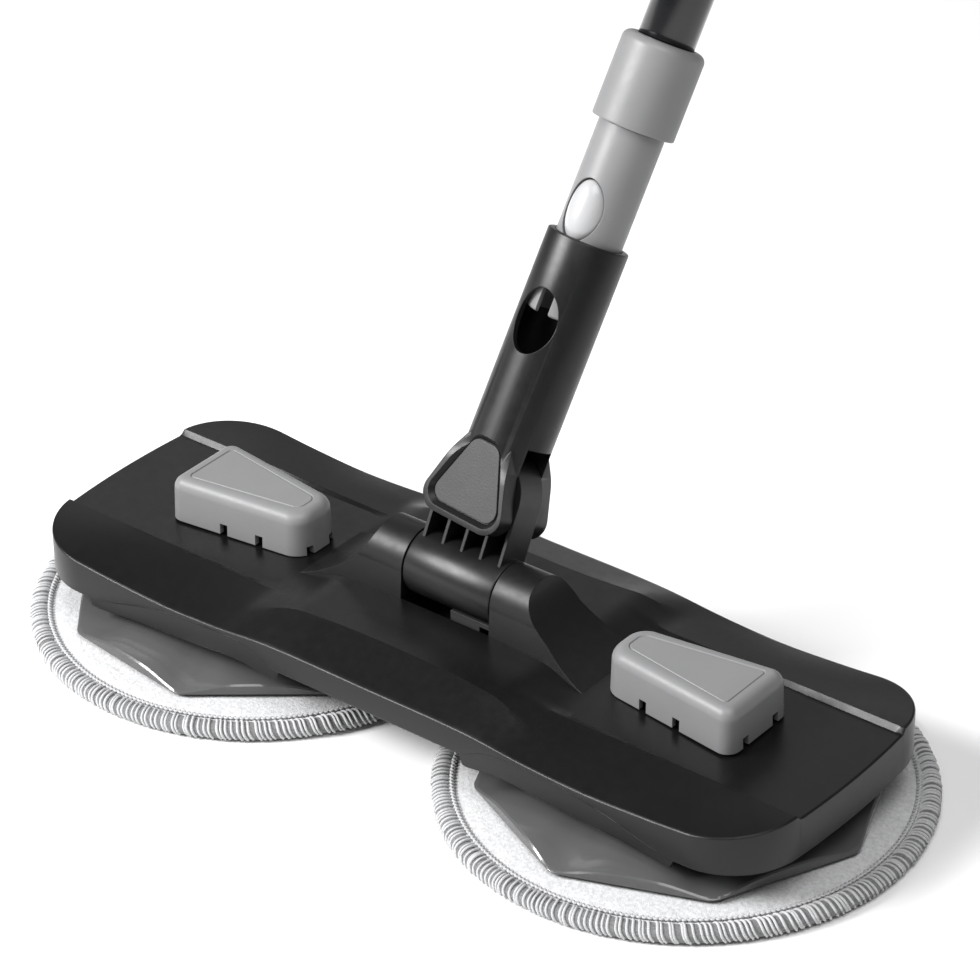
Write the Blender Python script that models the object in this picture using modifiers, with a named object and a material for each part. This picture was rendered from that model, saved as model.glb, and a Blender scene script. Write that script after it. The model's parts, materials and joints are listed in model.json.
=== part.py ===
"""Twin-disc spin mop: a flat head with two turning pads and a folding, telescopic handle.

Metres, +Z up, origin on the floor under the middle of the bounding box. The head's long side runs
along X, its rear faces +Y, and the handle leans back. Pieces of the head are modelled in the head's
own frame (floor level, under the middle of the hinge), pieces of the handle in the handle's frame
(on the hinge axis, +Z up the handle, -Y to its front).
"""
import math

import bmesh
import bpy
from mathutils import Matrix, Vector

# ---- Driving dimensions: clearances -------------------------------------------------------------
GAP = 0.0003            # between pieces that touch
FIT = 0.0005            # round a sliding or turning piece
SPARE = 0.01            # that a cutter reaches past what it cuts

# ---- Driving dimensions: pads and drive plates --------------------------------------------------
DISC_SPACING = 0.2052   # between the two spindles
PAD_R = 0.095
PAD_THICK = 0.006
PAD_BORDER_R = 0.0037   # half thickness of the rolled border
HOOK_THICK = 0.0014
HOOK_INNER_R = 0.040
HOOK_MARGIN = 0.002
PLATE_TIP_R = 0.079     # eight-sided plate, centre to corner
PLATE_TIP_THICK = 0.0006
PLATE_RISE = 0.012      # underside of the rim to the top of the hub
PLATE_HUB_R = 0.014
PLATE_HUB_THICK = 0.005
PLATE_HUB_SLOPE = 0.0025
PLATE_SHOULDER_IN = 0.013   # from the corners in to the rim's shoulder
PLATE_SHOULDER_Z = 0.0062   # of the shoulder and of the rim's edge, above the plate's underside
PLATE_LIP_Z = 0.0040
PLATE_TURN = {"left": math.radians(15.0), "right": math.radians(-1.5)}
SPINDLE_R = 0.006
SPINDLE_HEAD_R = 0.011
SPINDLE_HEAD_THICK = 0.0025

# ---- Driving dimensions: head casing ------------------------------------------------------------
HEAD_OVERHANG = 0.0774  # from a spindle to the middle of the bowed end
HEAD_WIDTH = 0.123
END_BOW = 0.005
CORNER_SHARE = 0.244    # corner radius, of the width
BOW_SHARE = 0.46        # how much of an end's half the bow's arc takes
WALL = 0.0024
RIM_Z = 0.0335          # top edge of the skirt, over the discs
RIM_MIDDLE_Z = 0.0370
SKIRT_Z = 0.0215        # lower edge of the skirt, over the discs
SKIRT_MIDDLE_Z = 0.0263
SKIRT_STEP_X = 0.045
ROOF_Z = 0.0435         # roof beside the hinge towers
ROOF_SHOULDER = 0.0415  # half width of the level roof there
BAND_Z = 0.0402         # inner edge of the bands beside the motor covers
BAND_SHOULDER = 0.034
CHANNEL_Z = 0.0390      # floor between the bands, at the motor covers' inboard end
CHANNEL_END_Z = 0.0382
ROOF_FALL = (0.046, 0.071)
BAND_STEP = 0.002       # width of the step from a band down to the floor
COVER_PLATE_THICK = 0.002
DRUM_R = 0.0485
DRUM_DEPTH = 0.0095
BOSS_R = 0.0038
BOSS_FROM_SIDE = 0.016  # middle bosses, in from the long sides
BOSS_FROM_DRUM = 0.006  # end bosses, out from the guard rings
SCREW_R = 0.0015
SCREW_HEAD_R = 0.003
SCREW_HEAD_THICK = 0.0014
SCREW_LENGTH = 0.007

# ---- Driving dimensions: motor covers and drives ------------------------------------------------
CAP_INBOARD = -0.030    # ends of a motor cover, measured from its spindle
CAP_OUTBOARD = 0.0335
CAP_WIDE = 0.0385
CAP_NARROW = 0.023
CAP_HEIGHT = 0.0182
CAP_WALL = 0.002
CAP_PANEL_INSET = 0.0065
CAP_PANEL_DEPTH = 0.0005
CAP_EDGE_R = 0.0032
CAP_NOSE_R = 0.009
CAP_CORNER_R = 0.005
VENT_WIDTH = 0.0035
VENT_HEIGHT = 0.0045
SIDE_VENTS = (-0.0095, 0.007)
END_VENTS = (-0.0092, 0.0092)
MOTOR_R = 0.012
GEARBOX_R = 0.028
GEARBOX_FLANGE_R = 0.034
GEARBOX_FLANGE_THICK = 0.0022
GEARBOX_NECK_R = 0.022
GEARBOX_DROP = 0.006    # below the bottom cover
BUSH_WALL = 0.0035

# ---- Driving dimensions: hinge ------------------------------------------------------------------
LEAN = math.radians(29.4)   # of the handle, back from upright
ROLL = math.radians(4.9)    # of the neck on its pin, to the right
HINGE_Z = 0.0545
KNUCKLE_R = 0.0132
KNUCKLE_LENGTH = 0.0416
HINGE_PIN_R = 0.003
HINGE_PIN_LENGTH = 0.070
TOWER_INNER_FOOT = 0.014    # half depth of a tower at the roof, beside the knuckle
TOWER_OUTER_FOOT = 0.0185   # and at its outer end
TOWER_CREST_X = 0.0365
TOWER_OUTER_X = 0.068
SCOOP_END_X = 0.076         # where the hollow in its outer side would run level
SCOOP_DROP = 0.0299
SCOOP_POWER = 1.6
SHOE_WIDTH = 0.014
SHOE_DEPTH = 0.012
SHOE_ARM = 0.009
SHOE_ARM_THICK = 0.002
SHOE_TRAVEL = 0.0015
SHOE_X = 0.0035             # middle of the shoe, to the right of the head's middle
SPRING_WIRE_R = 0.00045
SHOE_SPRING_R = 0.0030
WELL_FLOOR_THICK = 0.0017

# ---- Driving dimensions: handle, measured along it from the hinge axis --------------------------
TUBE_FORWARD = 0.0015       # tube axis in front of the hinge axis
TONGUE_WIDTH = 0.0376
TONGUE_THICK = 0.0152
TONGUE_RIBS = 5
TONGUE_RIB_THICK = 0.0016
ROLL_PIN_S = 0.033
ROLL_PIN_R = 0.0025
EAR_BOTTOM_S = 0.0205
EAR_WIDTH = 0.043
EAR_SHOULDER_S = 0.046
EAR_FOOT_R = 0.006
EAR_WAIST_R = 0.020
EAR_PAD_R = 0.005
EAR_PAD_DEPTH = 0.0012
ROLL_PIN_IN = 0.005         # front end of the roll pin, behind the front ear's face
SOCKET_R = 0.016
SOCKET_BORE_R = 0.0135
SOCKET_FLOOR_S = 0.058
SOCKET_MOUTH_S = 0.1358
WINDOW_S = 0.1020
WINDOW_WIDTH = 0.018
WINDOW_HEIGHT = 0.026
ADAPTER_R = 0.013
ADAPTER_WALL = 0.0022
ADAPTER_BOTTOM_S = 0.1050
PULLED_OUT = 0.0445         # of the adapter, from its latched place
BUTTON_WIDTH = 0.0152
BUTTON_HEIGHT = 0.0236
BUTTON_BACK = 0.005         # from the tube's axis to the back of the button
BUTTON_SPRING_R = 0.0034
BUTTON_TO_TUBE = 0.006
KEY_WIDTH = 0.006
KEY_HEIGHT = 0.012
COLLAR_R = 0.0162
COLLAR_LENGTH = 0.034
COLLAR_EDGE_R = 0.003
TUBE_R = 0.011
TUBE_WALL = 0.001
TUBE_LENGTH = 0.400
TUBE_PLAY = 0.0006          # between the two tubes
UPPER_TUBE_LENGTH = 0.570
UPPER_TUBE_TUCKED = 0.360   # length that the lower tube holds at rest
LOCK_R = 0.015
LOCK_LENGTH = 0.046
LOCK_OVERLAP = 0.018        # of the lock collar and the lower tube
GRIP_R = 0.014
GRIP_LENGTH = 0.128
GRIP_PAST_TUBE = 0.006
GRIP_DIP = 0.0024           # depth of the finger hollows
GRIP_STEPS = 7
DOME_FOOT = 0.003           # straight part of the grip's end cap, under its dome

# ---- Driving dimensions: what the casing holds --------------------------------------------------
BATTERY = (0.096, 0.020, 0.0075)
BOARD = (0.060, 0.018, 0.0016)
BOARD_FOOT_Z = 0.001
CHIP = (0.008, 0.007, 0.003)
CHIP_X = (-0.018, 0.0, 0.018)
SWITCH_WIDTH = 0.014
SWITCH_HEIGHT = 0.0058
SWITCH_X = -0.020
SWITCH_DEPTH = 0.005
SWITCH_PROUD = 0.0008
SOCKET_PORT_R = 0.0030
SOCKET_PORT_X = 0.020
SOCKET_PORT_DEPTH = 0.006
REAR_NOTCH_DEPTH = 0.007    # of the bottom cover, behind the button and the socket

# ---- Worked out from the driving dimensions -----------------------------------------------------
DISC_X = DISC_SPACING / 2
HEAD_LENGTH = DISC_SPACING + 2 * HEAD_OVERHANG
HOOK_Z = PAD_THICK + GAP
PLATE_Z = HOOK_Z + HOOK_THICK + GAP
PLATE_TOP_Z = PLATE_Z + PLATE_RISE
PLATE_FLAT_R = PLATE_TIP_R * math.cos(math.pi / 8)
COVER_PLATE_Z = SKIRT_MIDDLE_Z + 2 * FIT
COVER_PLATE_TOP_Z = COVER_PLATE_Z + COVER_PLATE_THICK
TOWER_X = KNUCKLE_LENGTH / 2 + FIT
WELL_FLOOR_Z = COVER_PLATE_TOP_Z + GAP + WELL_FLOOR_THICK
WELL_HALF_Y = KNUCKLE_R + 2 * GAP
SHOE_TOP_Z = HINGE_Z - KNUCKLE_R - GAP
EAR_GAP_HALF = TONGUE_THICK / 2 + FIT
COLLAR_S = SOCKET_MOUTH_S + PULLED_OUT + GAP
ADAPTER_TOP_S = COLLAR_S - GAP
BUTTON_S = WINDOW_S + PULLED_OUT
TUBE_S = BUTTON_S + BUTTON_HEIGHT / 2 + BUTTON_TO_TUBE
TUBE_TOP_S = TUBE_S + TUBE_LENGTH
UPPER_TUBE_R = TUBE_R - TUBE_WALL - TUBE_PLAY
UPPER_TUBE_S = TUBE_TOP_S - UPPER_TUBE_TUCKED
UPPER_TUBE_TOP_S = UPPER_TUBE_S + UPPER_TUBE_LENGTH
LOCK_S = TUBE_TOP_S - LOCK_OVERLAP
GRIP_S = UPPER_TUBE_TOP_S - GRIP_LENGTH + GRIP_PAST_TUBE
GRIP_TOP_S = GRIP_S + GRIP_LENGTH
CAP_DOME_S = GRIP_TOP_S + GAP + DOME_FOOT
REAR_REACH = (ROLL_PIN_S + (CAP_DOME_S - ROLL_PIN_S) * math.cos(ROLL)) * math.sin(LEAN) + GRIP_R
HEAD_Y = -(REAR_REACH - PAD_R) / 2
BIG = 0.5                   # longer than anything, for cutters that run right through
SIDES = {"left": -1, "right": 1}

# ---- Colours: base colour, roughness, metallic --------------------------------------------------
FINISH = {
    "charcoal_plastic": ((0.018, 0.018, 0.019), 0.38, 0.0),
    "grey_plastic": ((0.26, 0.26, 0.265), 0.45, 0.0),
    "plate_plastic": ((0.14, 0.14, 0.145), 0.25, 0.0),
    "button_plastic": ((0.55, 0.55, 0.56), 0.25, 0.0),
    "pole_paint": ((0.006, 0.007, 0.008), 0.22, 0.0),
    "microfibre": ((0.80, 0.80, 0.79), 0.95, 0.0),
    "hook_tape": ((0.03, 0.03, 0.03), 0.9, 0.0),
    "steel": ((0.52, 0.52, 0.53), 0.3, 1.0),
    "battery_wrap": ((0.03, 0.07, 0.16), 0.4, 0.0),
    "board_green": ((0.02, 0.10, 0.04), 0.5, 0.0),
    "black_rubber": ((0.012, 0.012, 0.012), 0.7, 0.0),
}

PARTS = bpy.data.collections.new("spin_mop")
CUTTERS = bpy.data.collections.new("cutters")

# An outline is drawn in one of these planes and extruded along the third axis.
PLANES = {
    "XY": Matrix.Identity(4),
    "XZ": Matrix.Rotation(math.pi / 2, 4, "X"),
    "YZ": Matrix(((0, 0, 1, 0), (1, 0, 0, 0), (0, 1, 0, 0), (0, 0, 0, 1))),
}
AXES = {"X": Matrix.Rotation(math.pi / 2, 4, "Y"), "Y": Matrix.Rotation(-math.pi / 2, 4, "X"),
        "Z": Matrix.Identity(4)}


# ---- Shapes: each returns an object in the cutters' collection ----------------------------------
def tool(name, mesh):
    """Link a mesh as a cutter or guide, which part() later turns into a piece."""
    obj = bpy.data.objects.new(name, mesh)
    CUTTERS.objects.link(obj)
    obj.hide_render = True
    obj.display_type = "WIRE"
    return obj


def from_bmesh(name, bm):
    mesh = bpy.data.meshes.new(name)
    bm.to_mesh(mesh)
    bm.free()
    return tool(name, mesh)


def box(name, low, high):
    low, high = Vector(low), Vector(high)
    bm = bmesh.new()
    bmesh.ops.create_cube(bm, size=1.0)
    bmesh.ops.scale(bm, vec=high - low, verts=bm.verts)
    bmesh.ops.translate(bm, vec=(high + low) / 2, verts=bm.verts)
    return from_bmesh(name, bm)


def rod(name, radius, low, high, axis="Z", at=(0, 0, 0), sides=28):
    """A cylinder from low to high along an axis that passes through a point."""
    bm = bmesh.new()
    bmesh.ops.create_cone(bm, cap_ends=True, segments=sides, radius1=radius, radius2=radius,
                          depth=abs(high - low))
    bmesh.ops.translate(bm, vec=(0, 0, (high + low) / 2), verts=bm.verts)
    bmesh.ops.transform(bm, matrix=AXES[axis], verts=bm.verts)
    bmesh.ops.translate(bm, vec=at, verts=bm.verts)
    return from_bmesh(name, bm)


def turned(name, profile, steps=32, closed=False):
    """Screw a profile of (radius, z) points about Z, listed down its outer side."""
    bm = bmesh.new()
    points = [bm.verts.new((radius, 0, z)) for radius, z in profile]
    for start, end in zip(points, points[1:] + (points[:1] if closed else [])):
        bm.edges.new((start, end))
    obj = from_bmesh(name, bm)
    screw = obj.modifiers.new("turn", "SCREW")
    screw.axis = "Z"
    screw.steps = screw.render_steps = steps
    screw.use_merge_vertices = True
    screw.merge_threshold = 0.00001
    screw.use_smooth_shade = True
    return obj


def ring(name, outer, inner, low, high, steps=32):
    profile = [(outer, high), (outer, low), (inner, low), (inner, high)]
    return turned(name, profile, steps, closed=True)


def prism(name, outline, low, high, plane="XY"):
    """Extrude a closed outline from low to high along the axis across its plane."""
    curve = bpy.data.curves.new(name, "CURVE")
    curve.dimensions = "2D"
    curve.fill_mode = "BOTH"
    curve.extrude = (high - low) / 2
    spline = curve.splines.new("POLY")
    spline.points.add(len(outline) - 1)
    for point, (x, y) in zip(spline.points, outline):
        point.co = (x, y, 0, 1)
    spline.use_cyclic_u = True
    drawn = bpy.data.objects.new(name, curve)
    CUTTERS.objects.link(drawn)
    mesh = meshed(drawn)
    across = PLANES[plane].to_3x3() @ Vector((0, 0, 1))
    middle = (low + high) / 2 if plane != "XZ" else -(low + high) / 2
    mesh.transform(Matrix.Translation(across * middle) @ PLANES[plane])
    return tool(name, mesh)


def meshed(drawn):
    """Turn a curve object into a closed mesh and remove the curve."""
    bpy.context.view_layer.update()
    evaluated = drawn.evaluated_get(bpy.context.evaluated_depsgraph_get())
    mesh = bpy.data.meshes.new_from_object(evaluated)
    bm = bmesh.new()
    bm.from_mesh(mesh)
    bmesh.ops.remove_doubles(bm, verts=bm.verts, dist=0.000001)
    bmesh.ops.recalc_face_normals(bm, faces=bm.faces)
    bm.to_mesh(mesh)
    bm.free()
    bpy.data.objects.remove(drawn)
    return mesh


def coil(name, radius, wire, low, high, turns, per_turn=8):
    """A compression spring's wire along Z."""
    curve = bpy.data.curves.new(name, "CURVE")
    curve.dimensions = "3D"
    curve.bevel_depth = wire
    curve.bevel_resolution = 0
    curve.use_fill_caps = True
    spline = curve.splines.new("POLY")
    count = turns * per_turn + 1
    spline.points.add(count - 1)
    for index in range(count):
        angle = 2 * math.pi * index / per_turn
        height = low + wire + (high - low - 2 * wire) * index / (count - 1)
        spline.points[index].co = (radius * math.cos(angle), radius * math.sin(angle), height, 1)
    drawn = bpy.data.objects.new(name, curve)
    CUTTERS.objects.link(drawn)
    return tool(name, meshed(drawn))


def filleted(corners, steps=6):
    """Round each corner (x, y, radius) of a closed outline with an arc."""
    outline = []
    for index, (x, y, radius) in enumerate(corners):
        corner = Vector((x, y))
        before = Vector(corners[index - 1][:2]) - corner
        after = Vector(corners[(index + 1) % len(corners)][:2]) - corner
        if radius == 0:
            outline.append((x, y))
            continue
        half = before.angle(after) / 2
        reach = radius / math.tan(half)
        start = corner + before.normalized() * reach
        end = corner + after.normalized() * reach
        centre = corner + (before.normalized() + after.normalized()).normalized() * (
            radius / math.sin(half))
        first, last = (start - centre).normalized(), (end - centre).normalized()
        for step in range(steps + 1):
            ray = first.slerp(last, step / steps)
            outline.append(tuple(centre + ray * radius))
    return outline


def oval(half_width, half_height, centre=(0, 0), steps=28):
    return [(centre[0] + half_width * math.cos(2 * math.pi * step / steps),
             centre[1] + half_height * math.sin(2 * math.pi * step / steps))
            for step in range(steps)]


def boolean(target, operation, tools):
    for other in tools:
        modifier = target.modifiers.new(operation.lower(), "BOOLEAN")
        modifier.operation = operation
        modifier.solver = "EXACT"
        modifier.object = other
    return target


def cut(target, *tools):
    return boolean(target, "DIFFERENCE", tools)


def join(target, *tools):
    return boolean(target, "UNION", tools)


def keep(target, *tools):
    return boolean(target, "INTERSECT", tools)


def carried(parent, *tools):
    """Make cutters follow the frame of the piece that they cut."""
    for obj in tools:
        obj.parent = parent
    return tools


def part(obj, name, finish, parent):
    """Turn a shape into a piece of the mop, with its own material."""
    CUTTERS.objects.unlink(obj)
    PARTS.objects.link(obj)
    obj.hide_render = False
    obj.display_type = "TEXTURED"
    obj.name = obj.data.name = name
    obj.parent = parent
    colour, roughness, metallic = FINISH[finish]
    material = bpy.data.materials.new(name)
    material.use_nodes = True
    shader = material.node_tree.nodes["Principled BSDF"]
    shader.inputs["Base Color"].default_value = (*colour, 1.0)
    shader.inputs["Roughness"].default_value = roughness
    shader.inputs["Metallic"].default_value = metallic
    obj.data.materials.clear()
    obj.data.materials.append(material)
    obj.data.shade_smooth()
    obj.data.set_sharp_from_angle(angle=math.radians(35))
    return obj


def frame(name, parent=None, at=(0, 0, 0), turn=(0, 0, 0)):
    empty = bpy.data.objects.new(name, None)
    PARTS.objects.link(empty)
    empty.parent = parent
    empty.location = at
    empty.rotation_euler = turn
    return empty


# ---- Pads, hook rings and drive plates ----------------------------------------------------------
def mop_pad(side, axis):
    roll = [(PAD_R - PAD_BORDER_R + PAD_BORDER_R * math.cos(angle),
             PAD_BORDER_R + PAD_BORDER_R * math.sin(angle))
            for angle in (math.radians(degrees) for degrees in range(75, -91, -55))]
    profile = [(0, PAD_THICK), (PAD_R - 2.6 * PAD_BORDER_R, PAD_THICK)] + roll + [(0, 0)]
    part(turned("pad", profile, 44), f"mop_pad_{side}", "microfibre", axis)


def hook_ring(side, axis):
    shape = ring("hooks", PLATE_FLAT_R - HOOK_MARGIN, HOOK_INNER_R, HOOK_Z, HOOK_Z + HOOK_THICK, 36)
    part(shape, f"hook_ring_{side}", "hook_tape", axis)


def drive_plate(side, axis):
    """A domed disc cut to eight sides, so that its rim is deep between the corners."""
    under = PLATE_TOP_Z - PLATE_HUB_THICK
    shoulder = PLATE_TIP_R - PLATE_SHOULDER_IN
    dome, lip = (PLATE_HUB_R + shoulder) / 2, PLATE_TIP_R - PLATE_SHOULDER_IN / 2
    past_tip = PLATE_TIP_R + FIT
    profile = [(SPINDLE_R + GAP, PLATE_TOP_Z), (PLATE_HUB_R, PLATE_TOP_Z),
               (PLATE_HUB_R + GAP, PLATE_TOP_Z - PLATE_HUB_SLOPE),
               (dome, PLATE_TOP_Z - 2 * PLATE_HUB_SLOPE + GAP),
               (shoulder, PLATE_Z + PLATE_SHOULDER_Z), (lip, PLATE_Z + PLATE_LIP_Z),
               (past_tip, PLATE_Z + PLATE_TIP_THICK), (past_tip, PLATE_Z),
               (HOOK_INNER_R - FIT, PLATE_Z), (HOOK_INNER_R - PLATE_HUB_THICK, under),
               (SPINDLE_R + GAP, under)]
    corners = [(PLATE_TIP_R * math.cos(PLATE_TURN[side] + step * math.pi / 4),
                PLATE_TIP_R * math.sin(PLATE_TURN[side] + step * math.pi / 4)) for step in range(8)]
    shape = turned("plate", profile, closed=True)
    outline, = carried(axis, prism("plate_outline", corners, 0, PLATE_TOP_Z + SPARE))
    part(keep(shape, outline), f"drive_plate_{side}", "plate_plastic", axis)


def spindle(side, axis):
    """A headed shaft that hangs the plate from the gearbox."""
    head_top = PLATE_TOP_Z - PLATE_HUB_THICK - GAP
    head_foot = head_top - SPINDLE_HEAD_THICK
    top = COVER_PLATE_TOP_Z + 2 * FIT
    profile = [(0, top), (SPINDLE_R, top), (SPINDLE_R, head_top), (SPINDLE_HEAD_R, head_top),
               (SPINDLE_HEAD_R, head_foot), (0, head_foot)]
    part(turned("spindle", profile, 24), f"spindle_{side}", "steel", axis)


# ---- Head casing --------------------------------------------------------------------------------
def plan(inset):
    """Outline of the head from above, with bowed ends and rounded corners."""
    half_x, half_y = HEAD_LENGTH / 2 - inset, HEAD_WIDTH / 2 - inset
    radius = CORNER_SHARE * HEAD_WIDTH - inset
    bow = BOW_SHARE * half_y ** 2 / END_BOW
    corner_x = half_x - END_BOW
    return filleted([(half_x, 0, bow), (corner_x, half_y, radius), (-corner_x, half_y, radius),
                     (-half_x, 0, bow), (-corner_x, -half_y, radius), (corner_x, -half_y, radius)])


def casing_solid(name, inset, floor):
    """The head's outer form, or with an inset the hollow inside it."""
    half_y = HEAD_WIDTH / 2
    side_y = half_y + SPARE
    fall_start, fall_end = ROOF_FALL
    step = BAND_STEP
    middle = [(half_y, RIM_MIDDLE_Z), (ROOF_SHOULDER, ROOF_Z), (ROOF_SHOULDER - step, ROOF_Z)]
    by_cover = [(half_y, RIM_Z), (BAND_SHOULDER, CHANNEL_Z + step / 4),
                (BAND_SHOULDER - step, CHANNEL_Z)]
    past_cover = [(half_y, RIM_Z), (BAND_SHOULDER, BAND_Z), (BAND_SHOULDER - step, CHANNEL_END_Z)]
    right = [(fall_start, middle), (fall_end, by_cover), (DISC_X + CAP_OUTBOARD + step, past_cover),
             (HEAD_LENGTH / 2 + SPARE, past_cover)]
    bm = bmesh.new()
    loops = []
    for x, half in [(-x, half) for x, half in reversed(right)] + right:
        rim = half[0][1]
        section = [(-side_y, 0), (-side_y, rim)] + [(-y, z) for y, z in half]
        section += list(reversed(half)) + [(side_y, rim), (side_y, 0)]
        loops.append([bm.verts.new((x, y, z - inset if z else 0)) for y, z in section])
    for near, far in zip(loops, loops[1:]):
        for index in range(len(near)):
            after = (index + 1) % len(near)
            bm.faces.new((near[index], near[after], far[after], far[index]))
    bm.faces.new(loops[0])
    bm.faces.new(loops[-1])
    bmesh.ops.triangulate(bm, faces=bm.faces)
    bmesh.ops.recalc_face_normals(bm, faces=bm.faces)
    roof = from_bmesh(name + "_roof", bm)
    return keep(prism(name, plan(inset), floor, ROOF_Z + SPARE), roof)


def tower(side):
    """One hinge tower: round over the hinge, flared outwards, hollowed towards the motor cover."""
    sign = SIDES[side]
    base = ROOF_Z - WALL
    arc = [math.radians(degrees) for degrees in range(180, -1, -20)]
    across = [(-TOWER_INNER_FOOT, base)]
    across += [(KNUCKLE_R * math.cos(angle), HINGE_Z + KNUCKLE_R * math.sin(angle)) for angle in arc]
    across += [(TOWER_INNER_FOOT, base)]
    solid = prism("tower", across, *sorted((sign * TOWER_X, sign * TOWER_OUTER_X)), "YZ")
    for vertex in solid.data.vertices:
        x, y, z = vertex.co
        if abs(x) > TOWER_CREST_X and z < (base + HINGE_Z) / 2:
            vertex.co = (x, math.copysign(TOWER_OUTER_FOOT, y), CHANNEL_Z - WALL / 2)
    top = HINGE_Z + KNUCKLE_R
    width = SCOOP_END_X - TOWER_CREST_X
    scoop = []
    for degrees in range(0, 91, 9):
        share = math.cos(math.radians(degrees)) ** (2 / SCOOP_POWER)
        drop = math.sin(math.radians(degrees)) ** (2 / SCOOP_POWER)
        scoop.append((SCOOP_END_X - width * share, top - SCOOP_DROP * drop))
    along = [(TOWER_X, 0), (TOWER_X, top + SPARE), (TOWER_CREST_X, top + SPARE)]
    along += scoop + [(SCOOP_END_X, 0)]
    return keep(solid, prism("tower_side", [(sign * x, z) for x, z in along], -BIG, BIG, "XZ"))


def boss_places():
    """Screw bosses: four round the middle and one near each end."""
    middle_x, middle_y = DISC_X - DRUM_R + BOSS_R, HEAD_WIDTH / 2 - BOSS_FROM_SIDE
    places = [(x * middle_x, y * middle_y) for x in (-1, 1) for y in (-1, 1)]
    end_x = DISC_X + DRUM_R + BOSS_FROM_DRUM
    return places + [(-end_x, 0), (end_x, 0)]


def top_shell(head):
    shell = casing_solid("shell", 0, SKIRT_Z)
    cut(shell, casing_solid("hollow", WALL, SKIRT_Z - SPARE))
    tub = box("tub", (-TOWER_X - WALL, -WELL_HALF_Y - WALL, COVER_PLATE_TOP_Z + GAP),
              (TOWER_X + WALL, WELL_HALF_Y + WALL, ROOF_Z - WALL / 2))
    join(shell, tub, tower("left"), tower("right"))
    under_roof = casing_solid("under_roof", WALL / 2, SKIRT_Z)
    for x, y in boss_places():
        boss = rod("boss", BOSS_R, COVER_PLATE_TOP_Z + GAP, ROOF_Z, at=(x, y, 0), sides=16)
        join(shell, keep(boss, under_roof))
    well = box("well", (-TOWER_X, -WELL_HALF_Y, WELL_FLOOR_Z), (TOWER_X, WELL_HALF_Y, BIG))
    skirt_step = box("skirt_step", (-SKIRT_STEP_X, -BIG, 0), (SKIRT_STEP_X, BIG, SKIRT_MIDDLE_Z))
    pin_bore = rod("pin_bore", HINGE_PIN_R + GAP, -HINGE_PIN_LENGTH / 2 - GAP,
                   HINGE_PIN_LENGTH / 2 + GAP, "X", (0, 0, HINGE_Z), 20)
    cut(shell, well, skirt_step, pin_bore)
    for side, sign in SIDES.items():
        hole = rod("motor_hole", MOTOR_R + 2 * FIT, CHANNEL_END_Z - 2 * WALL, ROOF_Z + SPARE,
                   at=(sign * DISC_X, 0, 0), sides=24)
        cut(shell, hole)
    for x, y in boss_places():
        cut(shell, rod("screw_hole", SCREW_R + GAP, 0, COVER_PLATE_TOP_Z + SCREW_LENGTH - 2 * FIT,
                       at=(x, y, 0), sides=12))
    switch_z = (SKIRT_MIDDLE_Z + RIM_MIDDLE_Z) / 2
    rear = HEAD_WIDTH / 2
    slot = box("switch_slot", (SWITCH_X - SWITCH_WIDTH / 2 - GAP, rear - 2 * WALL,
                               switch_z - SWITCH_HEIGHT / 2 - GAP),
               (SWITCH_X + SWITCH_WIDTH / 2 + GAP, rear + WALL, switch_z + SWITCH_HEIGHT / 2 + GAP))
    port = rod("port_hole", SOCKET_PORT_R + GAP, rear - 2 * WALL, rear + WALL, "Y",
               (SOCKET_PORT_X, 0, switch_z), 20)
    cut(shell, slot, port)
    part(shell, "top_shell", "charcoal_plastic", head)


def bottom_cover(head):
    """A plate inside the skirt."""
    cover = prism("cover", plan(WALL + FIT), COVER_PLATE_Z, COVER_PLATE_TOP_Z)
    for sign in SIDES.values():
        cut(cover, rod("gearbox_hole", GEARBOX_R + FIT, 0, BIG, at=(sign * DISC_X, 0, 0), sides=28))
    for x, y in boss_places():
        cut(cover, rod("cover_screw_hole", SCREW_R + GAP, 0, BIG, at=(x, y, 0), sides=12))
    notch = box("rear_notch", (SWITCH_X - SWITCH_WIDTH / 2 - 2 * FIT,
                               HEAD_WIDTH / 2 - REAR_NOTCH_DEPTH, 0),
                (SOCKET_PORT_X + SOCKET_PORT_R + 2 * FIT, BIG, BIG))
    cut(cover, notch)
    part(cover, "bottom_cover", "charcoal_plastic", head)


def guard_ring(side, axis):
    """A round wall under the plate that keeps fibres off the hub."""
    top = COVER_PLATE_Z - GAP
    wall = ring("guard", DRUM_R, DRUM_R - WALL, top - DRUM_DEPTH, top, 36)
    part(wall, f"guard_ring_{side}", "charcoal_plastic", axis)


def cover_screws(head):
    top = COVER_PLATE_Z - GAP
    profile = [(0, top + SCREW_LENGTH), (SCREW_R, top + SCREW_LENGTH - SCREW_R), (SCREW_R, top),
               (SCREW_HEAD_R, top), (SCREW_HEAD_R, top - SCREW_HEAD_THICK),
               (0, top - SCREW_HEAD_THICK)]
    for number, (x, y) in enumerate(boss_places(), 1):
        screw = part(turned("screw", profile, 12), f"cover_screw_{number}", "steel", head)
        screw.location = (x, y, 0)


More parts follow.
